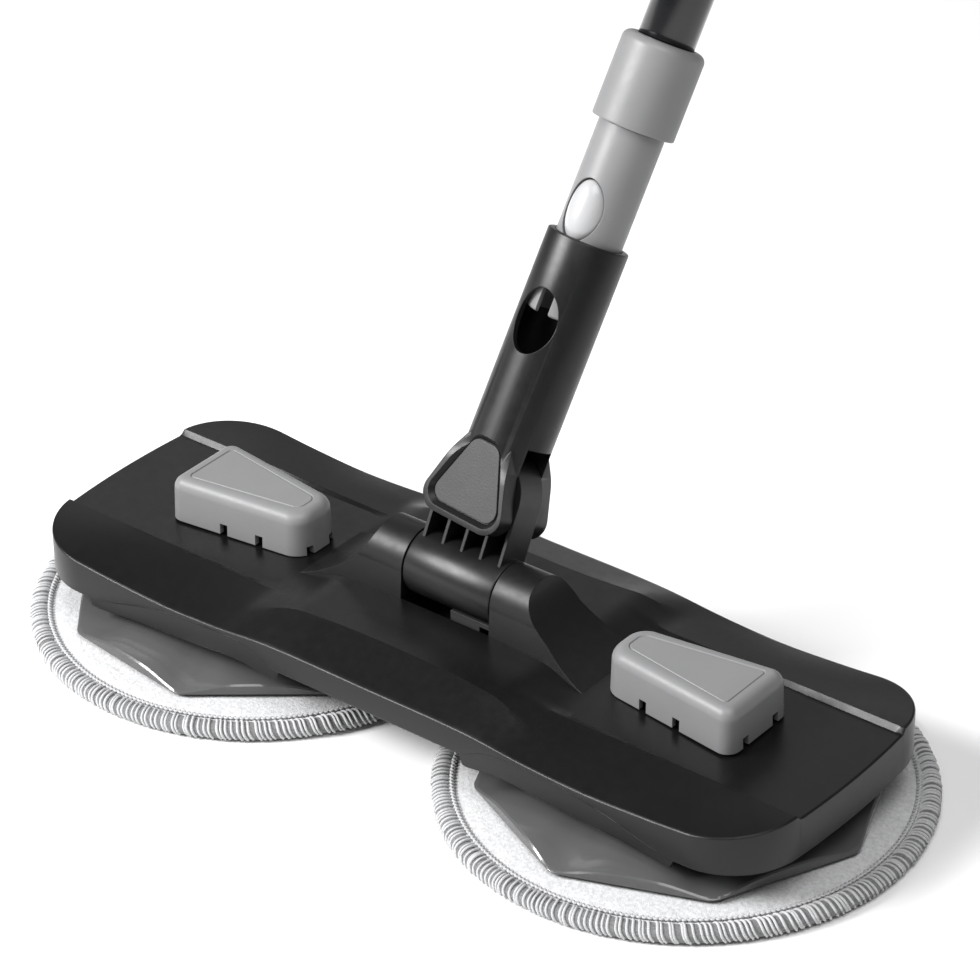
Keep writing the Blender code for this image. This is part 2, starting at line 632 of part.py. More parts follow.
def motor_cover(side, axis):
    """A tapered cap over the motor, with a sunk panel on top and vent notches at its foot."""
    sign = SIDES[side]
    foot = CHANNEL_Z + GAP
    top = foot + CAP_HEIGHT

    def outline(inset, nose, corner):
        points = [(CAP_INBOARD + inset, -CAP_NARROW / 2 + inset, nose),
                  (CAP_OUTBOARD - inset, -CAP_WIDE / 2 + inset, corner),
                  (CAP_OUTBOARD - inset, CAP_WIDE / 2 - inset, corner),
                  (CAP_INBOARD + inset, CAP_NARROW / 2 - inset, nose)]
        return filleted([(sign * x, y, radius) for x, y, radius in points])

    # The block reaches below the foot, where a cut removes the edge that is rounded there too.
    nose, corner = CAP_NOSE_R, CAP_CORNER_R
    cap = prism("cap", outline(0, nose, corner), foot - SPARE, top)
    round_top = cap.modifiers.new("round_top", "BEVEL")
    round_top.width = CAP_EDGE_R
    round_top.segments = 3
    round_top.limit_method = "ANGLE"
    round_top.angle_limit = math.radians(60)
    hollow = prism("cap_hollow", outline(CAP_WALL, nose - CAP_WALL, corner - CAP_WALL),
                   foot - 1.5 * SPARE, top - CAP_WALL)
    panel = prism("cap_panel", outline(CAP_PANEL_INSET, nose / 2, FIT), top - CAP_PANEL_DEPTH, BIG)
    below = box("cap_below", (-BIG, -BIG, foot - 2 * SPARE), (BIG, BIG, foot))
    hollow_and_edges = carried(axis, below, hollow, panel)
    cut(cap, *hollow_and_edges)
    for x in SIDE_VENTS:
        notch = box("vent", (sign * x - VENT_WIDTH / 2, -BIG, 0),
                    (sign * x + VENT_WIDTH / 2, BIG, foot + VENT_HEIGHT))
        cut(cap, *carried(axis, notch))
    for y in END_VENTS:
        low, high = sorted((sign * (CAP_OUTBOARD - 2 * CAP_WALL), sign * (CAP_OUTBOARD + SPARE)))
        notch = box("end_vent", (low, y - VENT_WIDTH / 2, 0),
                    (high, y + VENT_WIDTH / 2, foot + VENT_HEIGHT))
        cut(cap, *carried(axis, notch))
    part(cap, f"motor_cover_{side}", "grey_plastic", axis)


def gearbox(side, axis):
    bottom = COVER_PLATE_Z - GEARBOX_DROP
    flange = COVER_PLATE_TOP_Z + GAP
    flange_top = flange + GEARBOX_FLANGE_THICK
    bush_r = SPINDLE_R + BUSH_WALL + GAP
    bore_top = COVER_PLATE_TOP_Z + 3 * FIT
    top = CHANNEL_END_Z - WALL - GAP
    profile = [(0, top), (GEARBOX_NECK_R, top), (GEARBOX_NECK_R, flange_top),
               (GEARBOX_FLANGE_R, flange_top), (GEARBOX_FLANGE_R, flange), (GEARBOX_R, flange),
               (GEARBOX_R, bottom), (bush_r, bottom), (bush_r, bore_top), (0, bore_top)]
    part(turned("gearbox", profile, 28), f"gearbox_{side}", "charcoal_plastic", axis)
    bush = ring("bush", SPINDLE_R + BUSH_WALL, SPINDLE_R + GAP, bottom + FIT, COVER_PLATE_TOP_Z, 24)
    part(bush, f"spindle_bush_{side}", "steel", axis)
    motor_z = top + GAP
    motor_top = CHANNEL_Z + CAP_HEIGHT - CAP_WALL - 2 * FIT
    edge = 2 * FIT
    profile = [(0, motor_top), (MOTOR_R - edge, motor_top), (MOTOR_R, motor_top - edge),
               (MOTOR_R, motor_z), (0, motor_z)]
    part(turned("motor", profile, 24), f"motor_{side}", "steel", axis)


# ---- What the casing holds ----------------------------------------------------------------------
def battery_and_board(head):
    floor = COVER_PLATE_TOP_Z + GAP
    length, depth, height = BATTERY
    low_y = WELL_HALF_Y + WALL + 2 * FIT
    battery = box("battery", (-length / 2, low_y, floor), (length / 2, low_y + depth, floor + height))
    rounding = battery.modifiers.new("round", "BEVEL")
    rounding.width = height / 4
    rounding.segments = 2
    part(battery, "battery_pack", "battery_wrap", head)

    length, depth, thick = BOARD
    chip_length, chip_depth, chip_height = CHIP
    under = floor + BOARD_FOOT_Z
    board = box("board", (-length / 2, -low_y - depth, under), (length / 2, -low_y, under + thick))
    middle_y = -low_y - depth / 2
    for x in CHIP_X:
        chip = box("chip", (x - chip_length / 2, middle_y - chip_depth / 2, under + thick / 2),
                   (x + chip_length / 2, middle_y + chip_depth / 2, under + thick / 2 + chip_height))
        join(board, chip)
    foot_half = chip_length / 4
    foot = box("board_foot", (-foot_half, middle_y - foot_half, floor),
               (foot_half, middle_y + foot_half, under + thick / 2))
    part(join(board, foot), "control_board", "board_green", head)


def switch_and_port(head):
    """The power button in the rear skirt, in its own frame, and the charging socket beside it."""
    switch_z = (SKIRT_MIDDLE_Z + RIM_MIDDLE_Z) / 2
    rear = HEAD_WIDTH / 2
    axis = frame("switch_axis", head, (SWITCH_X, rear, switch_z))
    key = box("key", (-SWITCH_WIDTH / 2, -SWITCH_DEPTH, -SWITCH_HEIGHT / 2),
              (SWITCH_WIDTH / 2, SWITCH_PROUD, SWITCH_HEIGHT / 2))
    rounding = key.modifiers.new("round", "BEVEL")
    rounding.width = SWITCH_PROUD / 2
    rounding.segments = 2
    part(key, "power_button", "grey_plastic", axis)
    bore_end = -SOCKET_PORT_DEPTH + FIT
    port = ring("port", SOCKET_PORT_R, SOCKET_PORT_R / 2, bore_end, -FIT, 20)
    port.rotation_euler = (-math.pi / 2, 0, 0)
    port.location = (SOCKET_PORT_X, rear, switch_z)
    part(port, "charge_socket", "black_rubber", head)
    back = rod("port_back", SOCKET_PORT_R - GAP, -SOCKET_PORT_DEPTH, bore_end + 2 * FIT, sides=20)
    join(port, *carried(port, back))


# ---- Hinge --------------------------------------------------------------------------------------
def hinge_pin(head):
    pin = rod("pin", HINGE_PIN_R, -HINGE_PIN_LENGTH / 2, HINGE_PIN_LENGTH / 2, "X", (0, 0, HINGE_Z), 20)
    part(pin, "hinge_pin", "steel", head)


def brake_shoe(head):
    """The sprung shoe under the knuckle that holds the handle where it is left."""
    floor = WELL_FLOOR_Z + GAP + SHOE_TRAVEL
    left, right = SHOE_X - SHOE_WIDTH / 2, SHOE_X + SHOE_WIDTH / 2
    shoe = box("shoe", (left, -SHOE_DEPTH / 2, floor), (right, SHOE_DEPTH / 2, SHOE_TOP_Z))
    arm_z = SHOE_TOP_Z - SHOE_ARM_THICK
    arm = box("shoe_arm", (right - SHOE_ARM / 2, -SHOE_DEPTH / 2, arm_z),
              (right + SHOE_ARM, SHOE_DEPTH / 2, SHOE_TOP_Z))
    part(join(shoe, arm), "brake_shoe", "grey_plastic", head)
    spring = coil("spring", SHOE_SPRING_R, SPRING_WIRE_R, WELL_FLOOR_Z + GAP, arm_z - GAP, 4)
    spring.location = (right + SHOE_ARM / 2 + FIT, 0, 0)
    part(spring, "brake_spring", "steel", head)


def knuckle(handle):
    """The hinge barrel with the ribbed tongue that the neck rolls on."""
    barrel = rod("barrel", KNUCKLE_R, -KNUCKLE_LENGTH / 2, KNUCKLE_LENGTH / 2, "X", sides=40)
    half = TONGUE_WIDTH / 2
    outline = [(-half, 0), (half, 0)]
    outline += [(half * math.cos(angle), ROLL_PIN_S + half * math.sin(angle))
                for angle in (math.pi * step / 12 for step in range(13))]
    middle = -TUBE_FORWARD
    tongue = prism("tongue", outline, middle - TONGUE_THICK / 2, middle + TONGUE_THICK / 2, "XZ")
    join(barrel, tongue)
    rib_thick = TONGUE_RIB_THICK
    pitch = (TONGUE_WIDTH - rib_thick) / (TONGUE_RIBS - 1)
    for rib in range(TONGUE_RIBS - 1):
        low = -half + rib_thick + rib * pitch
        pocket = box("pocket", (low, -BIG, KNUCKLE_R * 0.75),
                     (low + pitch - rib_thick, middle + TONGUE_THICK / 2 - 2.5 * rib_thick,
                      ROLL_PIN_S - ROLL_PIN_R - 2 * rib_thick))
        cut(barrel, pocket)
    cut(barrel, rod("barrel_bore", HINGE_PIN_R + GAP, -BIG, BIG, "X", sides=20),
        rod("tongue_bore", ROLL_PIN_R + GAP, -BIG, BIG, "Y", (0, 0, ROLL_PIN_S), 20))
    part(barrel, "knuckle", "charcoal_plastic", handle)
    for modifier in barrel.modifiers:
        carried(handle, modifier.object)


# ---- Handle: everything below is turned about the tube's own axis -------------------------------
def roll_pin(neck):
    """Held in the ears, with its end flush with the rear one."""
    pin = rod("roll", ROLL_PIN_R, -SOCKET_R + ROLL_PIN_IN, SOCKET_R - GAP, "Y", sides=20)
    part(pin, "roll_pin", "steel", neck)


def neck_yoke(neck):
    """Two ears either side of the tongue, and the socket that takes the pole."""
    drop = ROLL_PIN_S
    half = EAR_WIDTH / 2
    bottom, shoulder, flare_top = EAR_BOTTOM_S - drop, EAR_SHOULDER_S - drop, SOCKET_FLOOR_S - drop
    flare_top += 2 * TONGUE_RIB_THICK
    waist, tip = SOCKET_R * 0.8, SOCKET_R / 2
    face = filleted([(-half, bottom, EAR_FOOT_R), (half, bottom, EAR_FOOT_R),
                     (waist, shoulder, EAR_WAIST_R), (tip, flare_top, 0), (-tip, flare_top, 0),
                     (-waist, shoulder, EAR_WAIST_R)])
    side = [(-SOCKET_R, bottom - FIT), (SOCKET_R, bottom - FIT), (SOCKET_R, shoulder),
            (tip, flare_top + FIT), (-tip, flare_top + FIT), (-SOCKET_R, shoulder)]
    ears = keep(prism("ears", face, -SOCKET_R, SOCKET_R, "XZ"),
                prism("ears_side", side, -BIG, BIG, "YZ"))
    mouth = SOCKET_MOUTH_S - drop
    sunk = GAP / 6
    barrel = rod("socket", SOCKET_R - sunk, shoulder - 4 * FIT, mouth, sides=36)
    gap_top = ROLL_PIN_S + TONGUE_WIDTH / 2 + 2 * FIT - drop
    ear_gap = box("ear_gap", (-BIG, -EAR_GAP_HALF, -BIG), (BIG, EAR_GAP_HALF, gap_top))
    bore = rod("socket_bore", SOCKET_BORE_R, SOCKET_FLOOR_S - drop, BIG, sides=36)
    window = prism("window", oval(WINDOW_WIDTH / 2, WINDOW_HEIGHT / 2, (0, WINDOW_S - drop)),
                   -BIG, -SOCKET_R / 3, "XZ")
    pin_hole = rod("roll_hole", ROLL_PIN_R + GAP, -SOCKET_R + ROLL_PIN_IN - GAP, BIG, "Y", sides=20)
    border = EAR_WIDTH / 14
    wide, narrow = half - border, half / 3
    pad_foot, pad_top = bottom + border + 2 * FIT, shoulder + 2 * border
    pad = filleted([(-wide, pad_foot, EAR_PAD_R), (wide, pad_foot, EAR_PAD_R),
                    (narrow, pad_top, EAR_PAD_R), (-narrow, pad_top, EAR_PAD_R)])
    inset = prism("ear_inset", pad, -BIG, -SOCKET_R + EAR_PAD_DEPTH, "XZ")
    join(ears, barrel)
    cut(ears, ear_gap, bore, window, pin_hole, inset)
    part(ears, "neck_yoke", "charcoal_plastic", neck)
    for modifier in ears.modifiers:
        carried(neck, modifier.object)


def pole_adapter(pole):
    """The grey plug with the spring button, keyed at its foot."""
    inner = ADAPTER_R - ADAPTER_WALL
    seat = TUBE_S - GAP
    edge = 2 * FIT
    profile = [(ADAPTER_R, ADAPTER_TOP_S), (ADAPTER_R, ADAPTER_BOTTOM_S + edge),
               (ADAPTER_R - edge, ADAPTER_BOTTOM_S), (inner, ADAPTER_BOTTOM_S), (inner, seat),
               (TUBE_R + GAP, seat), (TUBE_R + GAP, ADAPTER_TOP_S)]
    adapter = turned("adapter", profile, 36, closed=True)
    hole = prism("button_hole", oval(BUTTON_WIDTH / 2 + GAP, BUTTON_HEIGHT / 2 + GAP, (0, BUTTON_S)),
                 -BIG, 0, "XZ")
    key_half, key_foot = KEY_WIDTH / 2, ADAPTER_BOTTOM_S - SPARE
    key_top, key_r = ADAPTER_BOTTOM_S + KEY_HEIGHT, KEY_WIDTH / 2 - GAP / 2
    key = filleted([(-key_half, key_foot, 0), (key_half, key_foot, 0),
                    (key_half, key_top, key_r), (-key_half, key_top, key_r)])
    slot = prism("key_slot", key, -BIG, 0, "XZ")
    cut(adapter, *carried(pole, hole, slot))
    part(adapter, "pole_adapter", "grey_plastic", pole)


def release_button(pole):
    """The sprung oval button, in a frame on its own line of travel."""
    axis = frame("button_axis", pole, (0, 0, BUTTON_S))
    crown_r = ADAPTER_R + FIT / 3
    outline = oval(BUTTON_WIDTH / 2, BUTTON_HEIGHT / 2)
    button = prism("button", outline, -ADAPTER_R - SPARE, -BUTTON_BACK, "XZ")
    crown, = carried(axis, rod("crown", crown_r, -BUTTON_HEIGHT, BUTTON_HEIGHT, sides=64))
    part(keep(button, crown), "release_button", "button_plastic", axis)
    reach = ADAPTER_R - ADAPTER_WALL - 4 * GAP
    spring = coil("button_coil", BUTTON_SPRING_R, SPRING_WIRE_R, -BUTTON_BACK + GAP, reach, 5)
    spring.rotation_euler = (-math.pi / 2, 0, 0)
    part(spring, "button_spring", "steel", axis)


def pole_collar(pole):
    top = COLLAR_S + COLLAR_LENGTH
    edge = COLLAR_EDGE_R
    profile = [(TUBE_R + GAP, top), (COLLAR_R - edge, top)]
    profile += [(COLLAR_R - edge + edge * math.cos(angle), top - edge + edge * math.sin(angle))
                for angle in (math.radians(60), math.radians(30), 0)]
    profile += [(COLLAR_R, COLLAR_S + FIT), (COLLAR_R - FIT, COLLAR_S),
                (TUBE_R + GAP, COLLAR_S)]
    part(turned("collar", profile, 32, closed=True), "pole_collar", "grey_plastic", pole)


def lower_tube(pole):
    tube = ring("tube", TUBE_R, TUBE_R - TUBE_WALL, TUBE_S, TUBE_TOP_S, 32)
    part(tube, "lower_tube", "pole_paint", pole)


def lock_collar(pole):
    """Clamps the upper tube where it leaves the lower one."""
    top = LOCK_S + LOCK_LENGTH
    bore, neck = TUBE_R + GAP, UPPER_TUBE_R + FIT
    foot, edge = LOCK_S + LOCK_LENGTH / 4, 2 * FIT
    profile = [(neck, top), (LOCK_R - 3 * edge, top), (LOCK_R - edge, top - 2 * edge),
               (LOCK_R, top - 6 * edge), (LOCK_R, foot), (LOCK_R - edge, LOCK_S + edge),
               (LOCK_R - 2 * edge, LOCK_S), (bore, LOCK_S), (bore, TUBE_TOP_S + GAP),
               (neck, TUBE_TOP_S + GAP)]
    part(turned("lock", profile, 28, closed=True), "lock_collar", "grey_plastic", pole)


def upper_tube(upper):
    tube = ring("tube", UPPER_TUBE_R, UPPER_TUBE_R - TUBE_WALL, UPPER_TUBE_S, UPPER_TUBE_TOP_S, 32)
    part(tube, "upper_tube", "pole_paint", upper)


def grip(upper):
    bore = UPPER_TUBE_R + GAP
    dip = GRIP_DIP / 2
    sleeve = [(GRIP_R - dip + dip * math.sin(math.pi * (2 * step / GRIP_STEPS - 0.5)),
               GRIP_TOP_S - GRIP_LENGTH * step / GRIP_STEPS) for step in range(GRIP_STEPS + 1)]
    sleeve[-1] = (GRIP_R - GRIP_DIP, GRIP_S)
    sleeve[0] = (GRIP_R, GRIP_TOP_S)
    profile = [(0, GRIP_TOP_S)] + sleeve
    profile += [(bore, GRIP_S), (bore, UPPER_TUBE_TOP_S + GAP), (0, UPPER_TUBE_TOP_S + GAP)]
    part(turned("grip", profile, 28), "grip", "charcoal_plastic", upper)
    foot = GRIP_TOP_S + GAP
    dome = [(GRIP_R * math.sin(angle), CAP_DOME_S + GRIP_R * math.cos(angle))
            for angle in (math.radians(degrees) for degrees in range(0, 91, 18))]
    dome[0] = (0, CAP_DOME_S + GRIP_R)
    part(turned("cap", dome + [(GRIP_R, foot), (0, foot)], 28), "grip_cap", "grey_plastic", upper)


def main():
    for obj in list(bpy.data.objects):
        bpy.data.objects.remove(obj, do_unlink=True)
    for group in (PARTS, CUTTERS):
        bpy.context.scene.collection.children.link(group)

    head = frame("head_frame", at=(0, HEAD_Y, 0))
    top_shell(head)
    bottom_cover(head)
    cover_screws(head)
    battery_and_board(head)
    switch_and_port(head)
    hinge_pin(head)
    brake_shoe(head)
    for side, sign in SIDES.items():
        axis = frame(f"disc_axis_{side}", head, (sign * DISC_X, 0, 0))
        for piece in (mop_pad, hook_ring, drive_plate, spindle, guard_ring, gearbox, motor_cover):
            piece(side, axis)

    handle = frame("hinge_axis", head, (0, 0, HINGE_Z), (-LEAN, 0, 0))
    knuckle(handle)
    neck = frame("roll_axis", handle, (0, -TUBE_FORWARD, ROLL_PIN_S), (0, ROLL, 0))
    roll_pin(neck)
    neck_yoke(neck)
    pole = frame("pole_axis", neck, (0, 0, -ROLL_PIN_S))
    for piece in (pole_adapter, release_button, pole_collar, lower_tube, lock_collar):
        piece(pole)
    upper = frame("upper_axis", pole)
    upper_tube(upper)
    grip(upper)

    # Cutters of the head's own pieces follow the head's frame too.
    for obj in CUTTERS.objects:
        if obj.parent is None:
            obj.parent = head


main()
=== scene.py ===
"""Look of the twin-disc spin mop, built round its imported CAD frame.

Shapes are drawn in millimetres in a local frame and put in place by one of the matrices below:
HEAD (floor level under the hinge, +X along the head, +Y to its rear), HANDLE (hinge axis, +Z up the
handle), POLE (the same, rolled with the neck) or a disc's own axis.
"""

import json
import math

import bmesh
import bpy
import numpy as np
from mathutils import Matrix, Vector, geometry, kdtree


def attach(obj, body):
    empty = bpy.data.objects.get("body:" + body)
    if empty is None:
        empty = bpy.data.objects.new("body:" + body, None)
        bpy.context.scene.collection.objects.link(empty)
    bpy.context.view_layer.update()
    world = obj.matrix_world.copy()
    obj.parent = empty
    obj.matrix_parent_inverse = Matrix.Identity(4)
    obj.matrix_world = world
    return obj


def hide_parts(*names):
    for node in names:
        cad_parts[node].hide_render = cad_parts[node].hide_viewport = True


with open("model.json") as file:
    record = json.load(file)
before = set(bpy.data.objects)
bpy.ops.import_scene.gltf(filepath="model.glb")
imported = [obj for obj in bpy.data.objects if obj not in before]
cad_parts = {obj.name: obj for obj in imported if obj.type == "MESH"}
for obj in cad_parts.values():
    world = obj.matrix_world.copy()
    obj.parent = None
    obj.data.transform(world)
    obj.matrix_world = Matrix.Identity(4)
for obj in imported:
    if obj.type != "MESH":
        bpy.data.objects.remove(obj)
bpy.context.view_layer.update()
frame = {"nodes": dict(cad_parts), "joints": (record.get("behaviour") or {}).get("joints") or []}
JOINTS = {joint["name"]: joint for joint in frame["joints"]}
SIDES = {"left": -1, "right": 1}

# ---- Places, from the frame ---------------------------------------------------------------------
MM = Matrix.Scale(0.001, 4)


def axes_at(origin, across, along):
    """A frame with +Y and +Z along the given directions."""
    y, z = Vector(across).normalized(), Vector(along).normalized()
    x = y.cross(z)
    turn = Matrix((x, y, z)).transposed().to_4x4()
    return Matrix.Translation(origin) @ turn


HINGE = Vector(JOINTS["handle_pitch"]["pos_m"])
ROLL_PIN = Vector(JOINTS["neck_roll"]["pos_m"])
INWARD = Vector(JOINTS["neck_roll"]["axis"])
ALONG = Vector(JOINTS["pole_lift"]["axis"])
HANDLE_UP = Vector((1, 0, 0)).cross(INWARD)
PIN_UP = (ROLL_PIN - HINGE).dot(HANDLE_UP)
TUBE_FORWARD = -(ROLL_PIN - HINGE).dot(INWARD) * 1000
HEAD = Matrix.Translation((0, HINGE.y, 0)) @ MM
HANDLE = axes_at(HINGE, INWARD, HANDLE_UP) @ MM
POLE = axes_at(ROLL_PIN - ALONG * PIN_UP, INWARD, ALONG) @ MM
DISC = {side: Matrix.Translation(JOINTS[f"{side}_disc_spin"]["pos_m"]) @ MM for side in SIDES}


def span(node, matrix):
    """Lowest and highest corner of a CAD node in a local frame, in its millimetres."""
    into = matrix.inverted()
    points = np.array([into @ vertex.co for vertex in frame["nodes"][node].data.vertices])
    return points.min(0), points.max(0)


# ---- Driving sizes, in millimetres --------------------------------------------------------------
_, shell_high = span("top_shell", HEAD)
HALF_X, HALF_Y = shell_high[0], shell_high[1]
DISC_X = JOINTS["right_disc_spin"]["pos_m"][0] * 1000
HINGE_Z = HINGE.z * 1000
ROOF_Z = 43.5               # the plateau under the hinge
FLOOR_Z = (39.0, 38.2)      # between the bands: at the covers' inboard end, and past them
BAND_Z = 40.2               # the bands' inner edge, past the covers
BAND_RISE = 0.5             # the bands' inner edge over the floor, at the covers' inboard end
BAND_Y = 34.0
BAND_STEP = 2.0
BAND_BULGE = 2.0            # a quarter of it shows, midway across a band
FALL_X = (46.0, 71.0)       # where the plateau falls away
PAST_COVER_X = 138.0
CRESCENT_X = 105.0
CRESCENT_Y = 41.0
CRESCENT_POWER = 2.6
EDGE_R = 0.9
KNUCKLE_R = 13.2
TOWER_X = 21.3
WELL_Y = 13.8
WELL_FLOOR_Z = 31.3
GUARD_IN_X = (43.5, 46)     # where the guard wall begins under the skirt
GUARD_OUT_X = (140, 142)    # and where it ends
GUARD_BULGE = 0.9
GUARD_BULGE_X = (45, 96)    # start and length of the wall's swelling
SIDE_DEPTH = 12             # how far from the front or rear edge the guard wall may lie
SKIRT_WALL = 2.6
SKIRT_INNER_Z = 31.0
GRID = 2.5                  # between the roof's inner points
GRID_GAP = 3.2              # from them to the rim
CREST_GAP = 2.4             # from the ends of the crescents' crest lines to the rim
BAND_GAP = 3.5              # from the ends of the bands' step lines to the rim
TUBE_R = 11.0
TUBE_WALL = 1.0
UPPER_R = 9.4
PAD_ROLL_Z = 3.35
THROUGH = 40                # beyond every shape that a cut goes through
FRAME_PX = 980
FOCAL_PX = 4090
SENSOR_MM = 36.0


# ---- Materials ----------------------------------------------------------------------------------
def new_material(name):
    material = bpy.data.materials.new(name)
    material.use_nodes = True
    return material, material.node_tree.nodes, material.node_tree.links


def noise(nodes, links, scale, detail=4.0, roughness=0.55):
    """3-D noise in the object's own metres; 1000 is about a millimetre a blob."""
    where = nodes.new("ShaderNodeTexCoord")
    texture = nodes.new("ShaderNodeTexNoise")
    texture.inputs["Scale"].default_value = scale
    texture.inputs["Detail"].default_value = detail
    texture.inputs["Roughness"].default_value = roughness
    links.new(where.outputs["Object"], texture.inputs["Vector"])
    return texture.outputs["Fac"]


def remap(nodes, links, value, low, high, from_low=0.3, from_high=0.7):
    node = nodes.new("ShaderNodeMapRange")
    node.inputs["From Min"].default_value = from_low
    node.inputs["From Max"].default_value = from_high
    node.inputs["To Min"].default_value = low
    node.inputs["To Max"].default_value = high
    links.new(value, node.inputs["Value"])
    return node.outputs["Result"]


def tinted(nodes, links, factor, dark, light):
    ramp = nodes.new("ShaderNodeValToRGB")
    ramp.color_ramp.elements[0].position = 0.3
    ramp.color_ramp.elements[0].color = (*dark, 1)
    ramp.color_ramp.elements[1].position = 0.7
    ramp.color_ramp.elements[1].color = (*light, 1)
    links.new(factor, ramp.inputs["Fac"])
    return ramp.outputs["Color"]


def bump(nodes, links, height, strength, distance, normal=None):
    node = nodes.new("ShaderNodeBump")
    node.inputs["Strength"].default_value = strength
    node.inputs["Distance"].default_value = distance
    links.new(height, node.inputs["Height"])
    if normal is not None:
        links.new(normal, node.inputs["Normal"])
    return node.outputs["Normal"]


def plastic(name, colour, roughness, grain=0.25, grain_scale=2600, edge=0.0004, metallic=0.0,
            coat=0.0, vary=0.10, specular=0.35):
    """Moulded plastic or painted metal: fine grain, cloudy gloss and softly rounded edges."""
    material, nodes, links = new_material(name)
    shader = nodes["Principled BSDF"]
    shader.inputs["Metallic"].default_value = metallic
    shader.inputs["Coat Weight"].default_value = coat
    shader.inputs["Coat Roughness"].default_value = 0.08
    shader.inputs["Specular IOR Level"].default_value = specular
    cloud = noise(nodes, links, 60, 5.0)
    dark = tuple(channel * (1 - vary) for channel in colour)
    light = tuple(channel * (1 + vary) for channel in colour)
    links.new(tinted(nodes, links, cloud, dark, light), shader.inputs["Base Color"])
    smear = noise(nodes, links, 240, 6.0, 0.65)
    links.new(remap(nodes, links, smear, roughness * 0.9, roughness * 1.12),
              shader.inputs["Roughness"])
    rounded = nodes.new("ShaderNodeBevel")
    rounded.samples = 4
    rounded.inputs["Radius"].default_value = edge
    fine = noise(nodes, links, grain_scale, 2.0)
    links.new(bump(nodes, links, fine, grain, 0.00006, rounded.outputs["Normal"]),
              shader.inputs["Normal"])
    return material


def cloth(name, dark, light, scale, strength, distance, sheen=0.4):
    """Fluffy microfibre or thread: two sizes of fibre in the bump, with painted shade in the hollows
    between the tufts.
    """
    material, nodes, links = new_material(name)
    shader = nodes["Principled BSDF"]
    shader.inputs["Roughness"].default_value = 0.95
    shader.inputs["Sheen Weight"].default_value = sheen
    shader.inputs["Sheen Roughness"].default_value = 0.5
    shader.inputs["Specular IOR Level"].default_value = 0.2
    tufts = noise(nodes, links, scale, 5.0, 0.7)
    # The colour follows the coarse bump's noise: painted shade, darker in the hollows between tufts.
    links.new(tinted(nodes, links, tufts, dark, light), shader.inputs["Base Color"])
    fibres = noise(nodes, links, scale * 3.5, 3.0, 0.6)
    coarse = bump(nodes, links, tufts, strength, distance)
    links.new(bump(nodes, links, fibres, strength * 0.7, distance * 0.35, coarse),
              shader.inputs["Normal"])
    return material


def grey(level):
    return (level, level * 1.005, level * 1.02)


LOOK = {
    "shell": plastic("charcoal_shell", grey(0.0040), 0.33, grain=0.30),
    # The towers are moulded in the shell's plastic; their lighter grey is painted light, brightening
    # their flanks against the roof.
    "tower": plastic("charcoal_tower_painted_light", grey(0.0060), 0.42, grain=0.30),
    "knuckle": plastic("charcoal_knuckle", grey(0.009), 0.34, grain=0.20),
    "neck": plastic("charcoal_neck", grey(0.008), 0.36, grain=0.30),
    "neck_pad": plastic("charcoal_neck_pad", grey(0.028), 0.45, grain=0.9, grain_scale=1500),
    "under": plastic("charcoal_under", grey(0.010), 0.55, grain=0.40),
    # The near-black, dull look below is painted shade: dark fills put inside the motor covers and the
    # adapter tube where only shadow would show.
    "well": plastic("painted_shade_black", grey(0.0015), 0.7, grain=0.30, specular=0.1),
    "shoe": plastic("shoe_grey", grey(0.045), 0.5, grain=0.30),
    "cover": plastic("grey_cover", grey(0.195), 0.42, grain=0.22, vary=0.03),
    "adapter": plastic("grey_adapter", grey(0.200), 0.38, grain=0.20, vary=0.03),
    "collar": plastic("grey_collar", grey(0.190), 0.42, grain=0.22, vary=0.03),
    "button": plastic("silver_button", grey(0.40), 0.25, grain=0.05, coat=0.3, vary=0.02),
    "plate": plastic("plate_grey", grey(0.085), 0.20, grain=0.08, coat=0.6, vary=0.05),
    "pole": plastic("pole_black", (0.003, 0.0032, 0.004), 0.20, grain=0.05, coat=0.5, vary=0.05),
    "steel": plastic("bright_steel", grey(0.50), 0.28, grain=0.10, metallic=1.0, vary=0.05),
    "spring": plastic("black_spring", grey(0.02), 0.35, grain=0.10, metallic=0.6),
    "grip": plastic("grip_rubber", grey(0.010), 0.60, grain=0.8, grain_scale=1400),
    "wrap": plastic("battery_wrap", (0.03, 0.07, 0.16), 0.4),
    "board": plastic("board_green", (0.02, 0.10, 0.04), 0.5),
    "rubber": plastic("black_rubber", grey(0.008), 0.7, grain=0.5),
    "hooks": cloth("hook_tape", grey(0.012), grey(0.06), 2200, 0.9, 0.0004, sheen=0.1),
    "pile": cloth("microfibre_pile", grey(0.46), grey(0.72), 620, 0.75, 0.0009),
    "edging": cloth("edging_fabric", grey(0.10), grey(0.26), 1500, 0.6, 0.0004, sheen=0.1),
    "thread": cloth("edging_thread", grey(0.34), grey(0.66), 2400, 0.5, 0.00015, sheen=0.1),
}


# ---- Building meshes ----------------------------------------------------------------------------
def helper(verts, faces):
    """A mesh object that stays in its local millimetres until it is put in place."""
    mesh = bpy.data.meshes.new("helper")
    mesh.from_pydata([tuple(v) for v in verts], [], [tuple(int(i) for i in f) for f in faces])
    obj = bpy.data.objects.new("helper", mesh)
    bpy.context.scene.collection.objects.link(obj)
    return obj


def facing_out(obj):
    bm = bmesh.new()
    bm.from_mesh(obj.data)
    bmesh.ops.remove_doubles(bm, verts=bm.verts, dist=0.0005)
    bmesh.ops.recalc_face_normals(bm, faces=bm.faces)
    bm.to_mesh(obj.data)
    bm.free()
    return obj


def loft(rings, cap_first=True, cap_last=True):
    """Skin rings that have the same number of points."""
    count = len(rings[0])
    verts = [point for ring in rings for point in ring]
    faces = []
    for row in range(len(rings) - 1):
        low, high = row * count, (row + 1) * count
        for i in range(count):
            j = (i + 1) % count
            faces.append((low + i, low + j, high + j, high + i))
    if cap_first:
        faces.append(tuple(reversed(range(count))))
    if cap_last:
        faces.append(tuple(range((len(rings) - 1) * count, len(rings) * count)))
    return facing_out(helper(verts, faces))


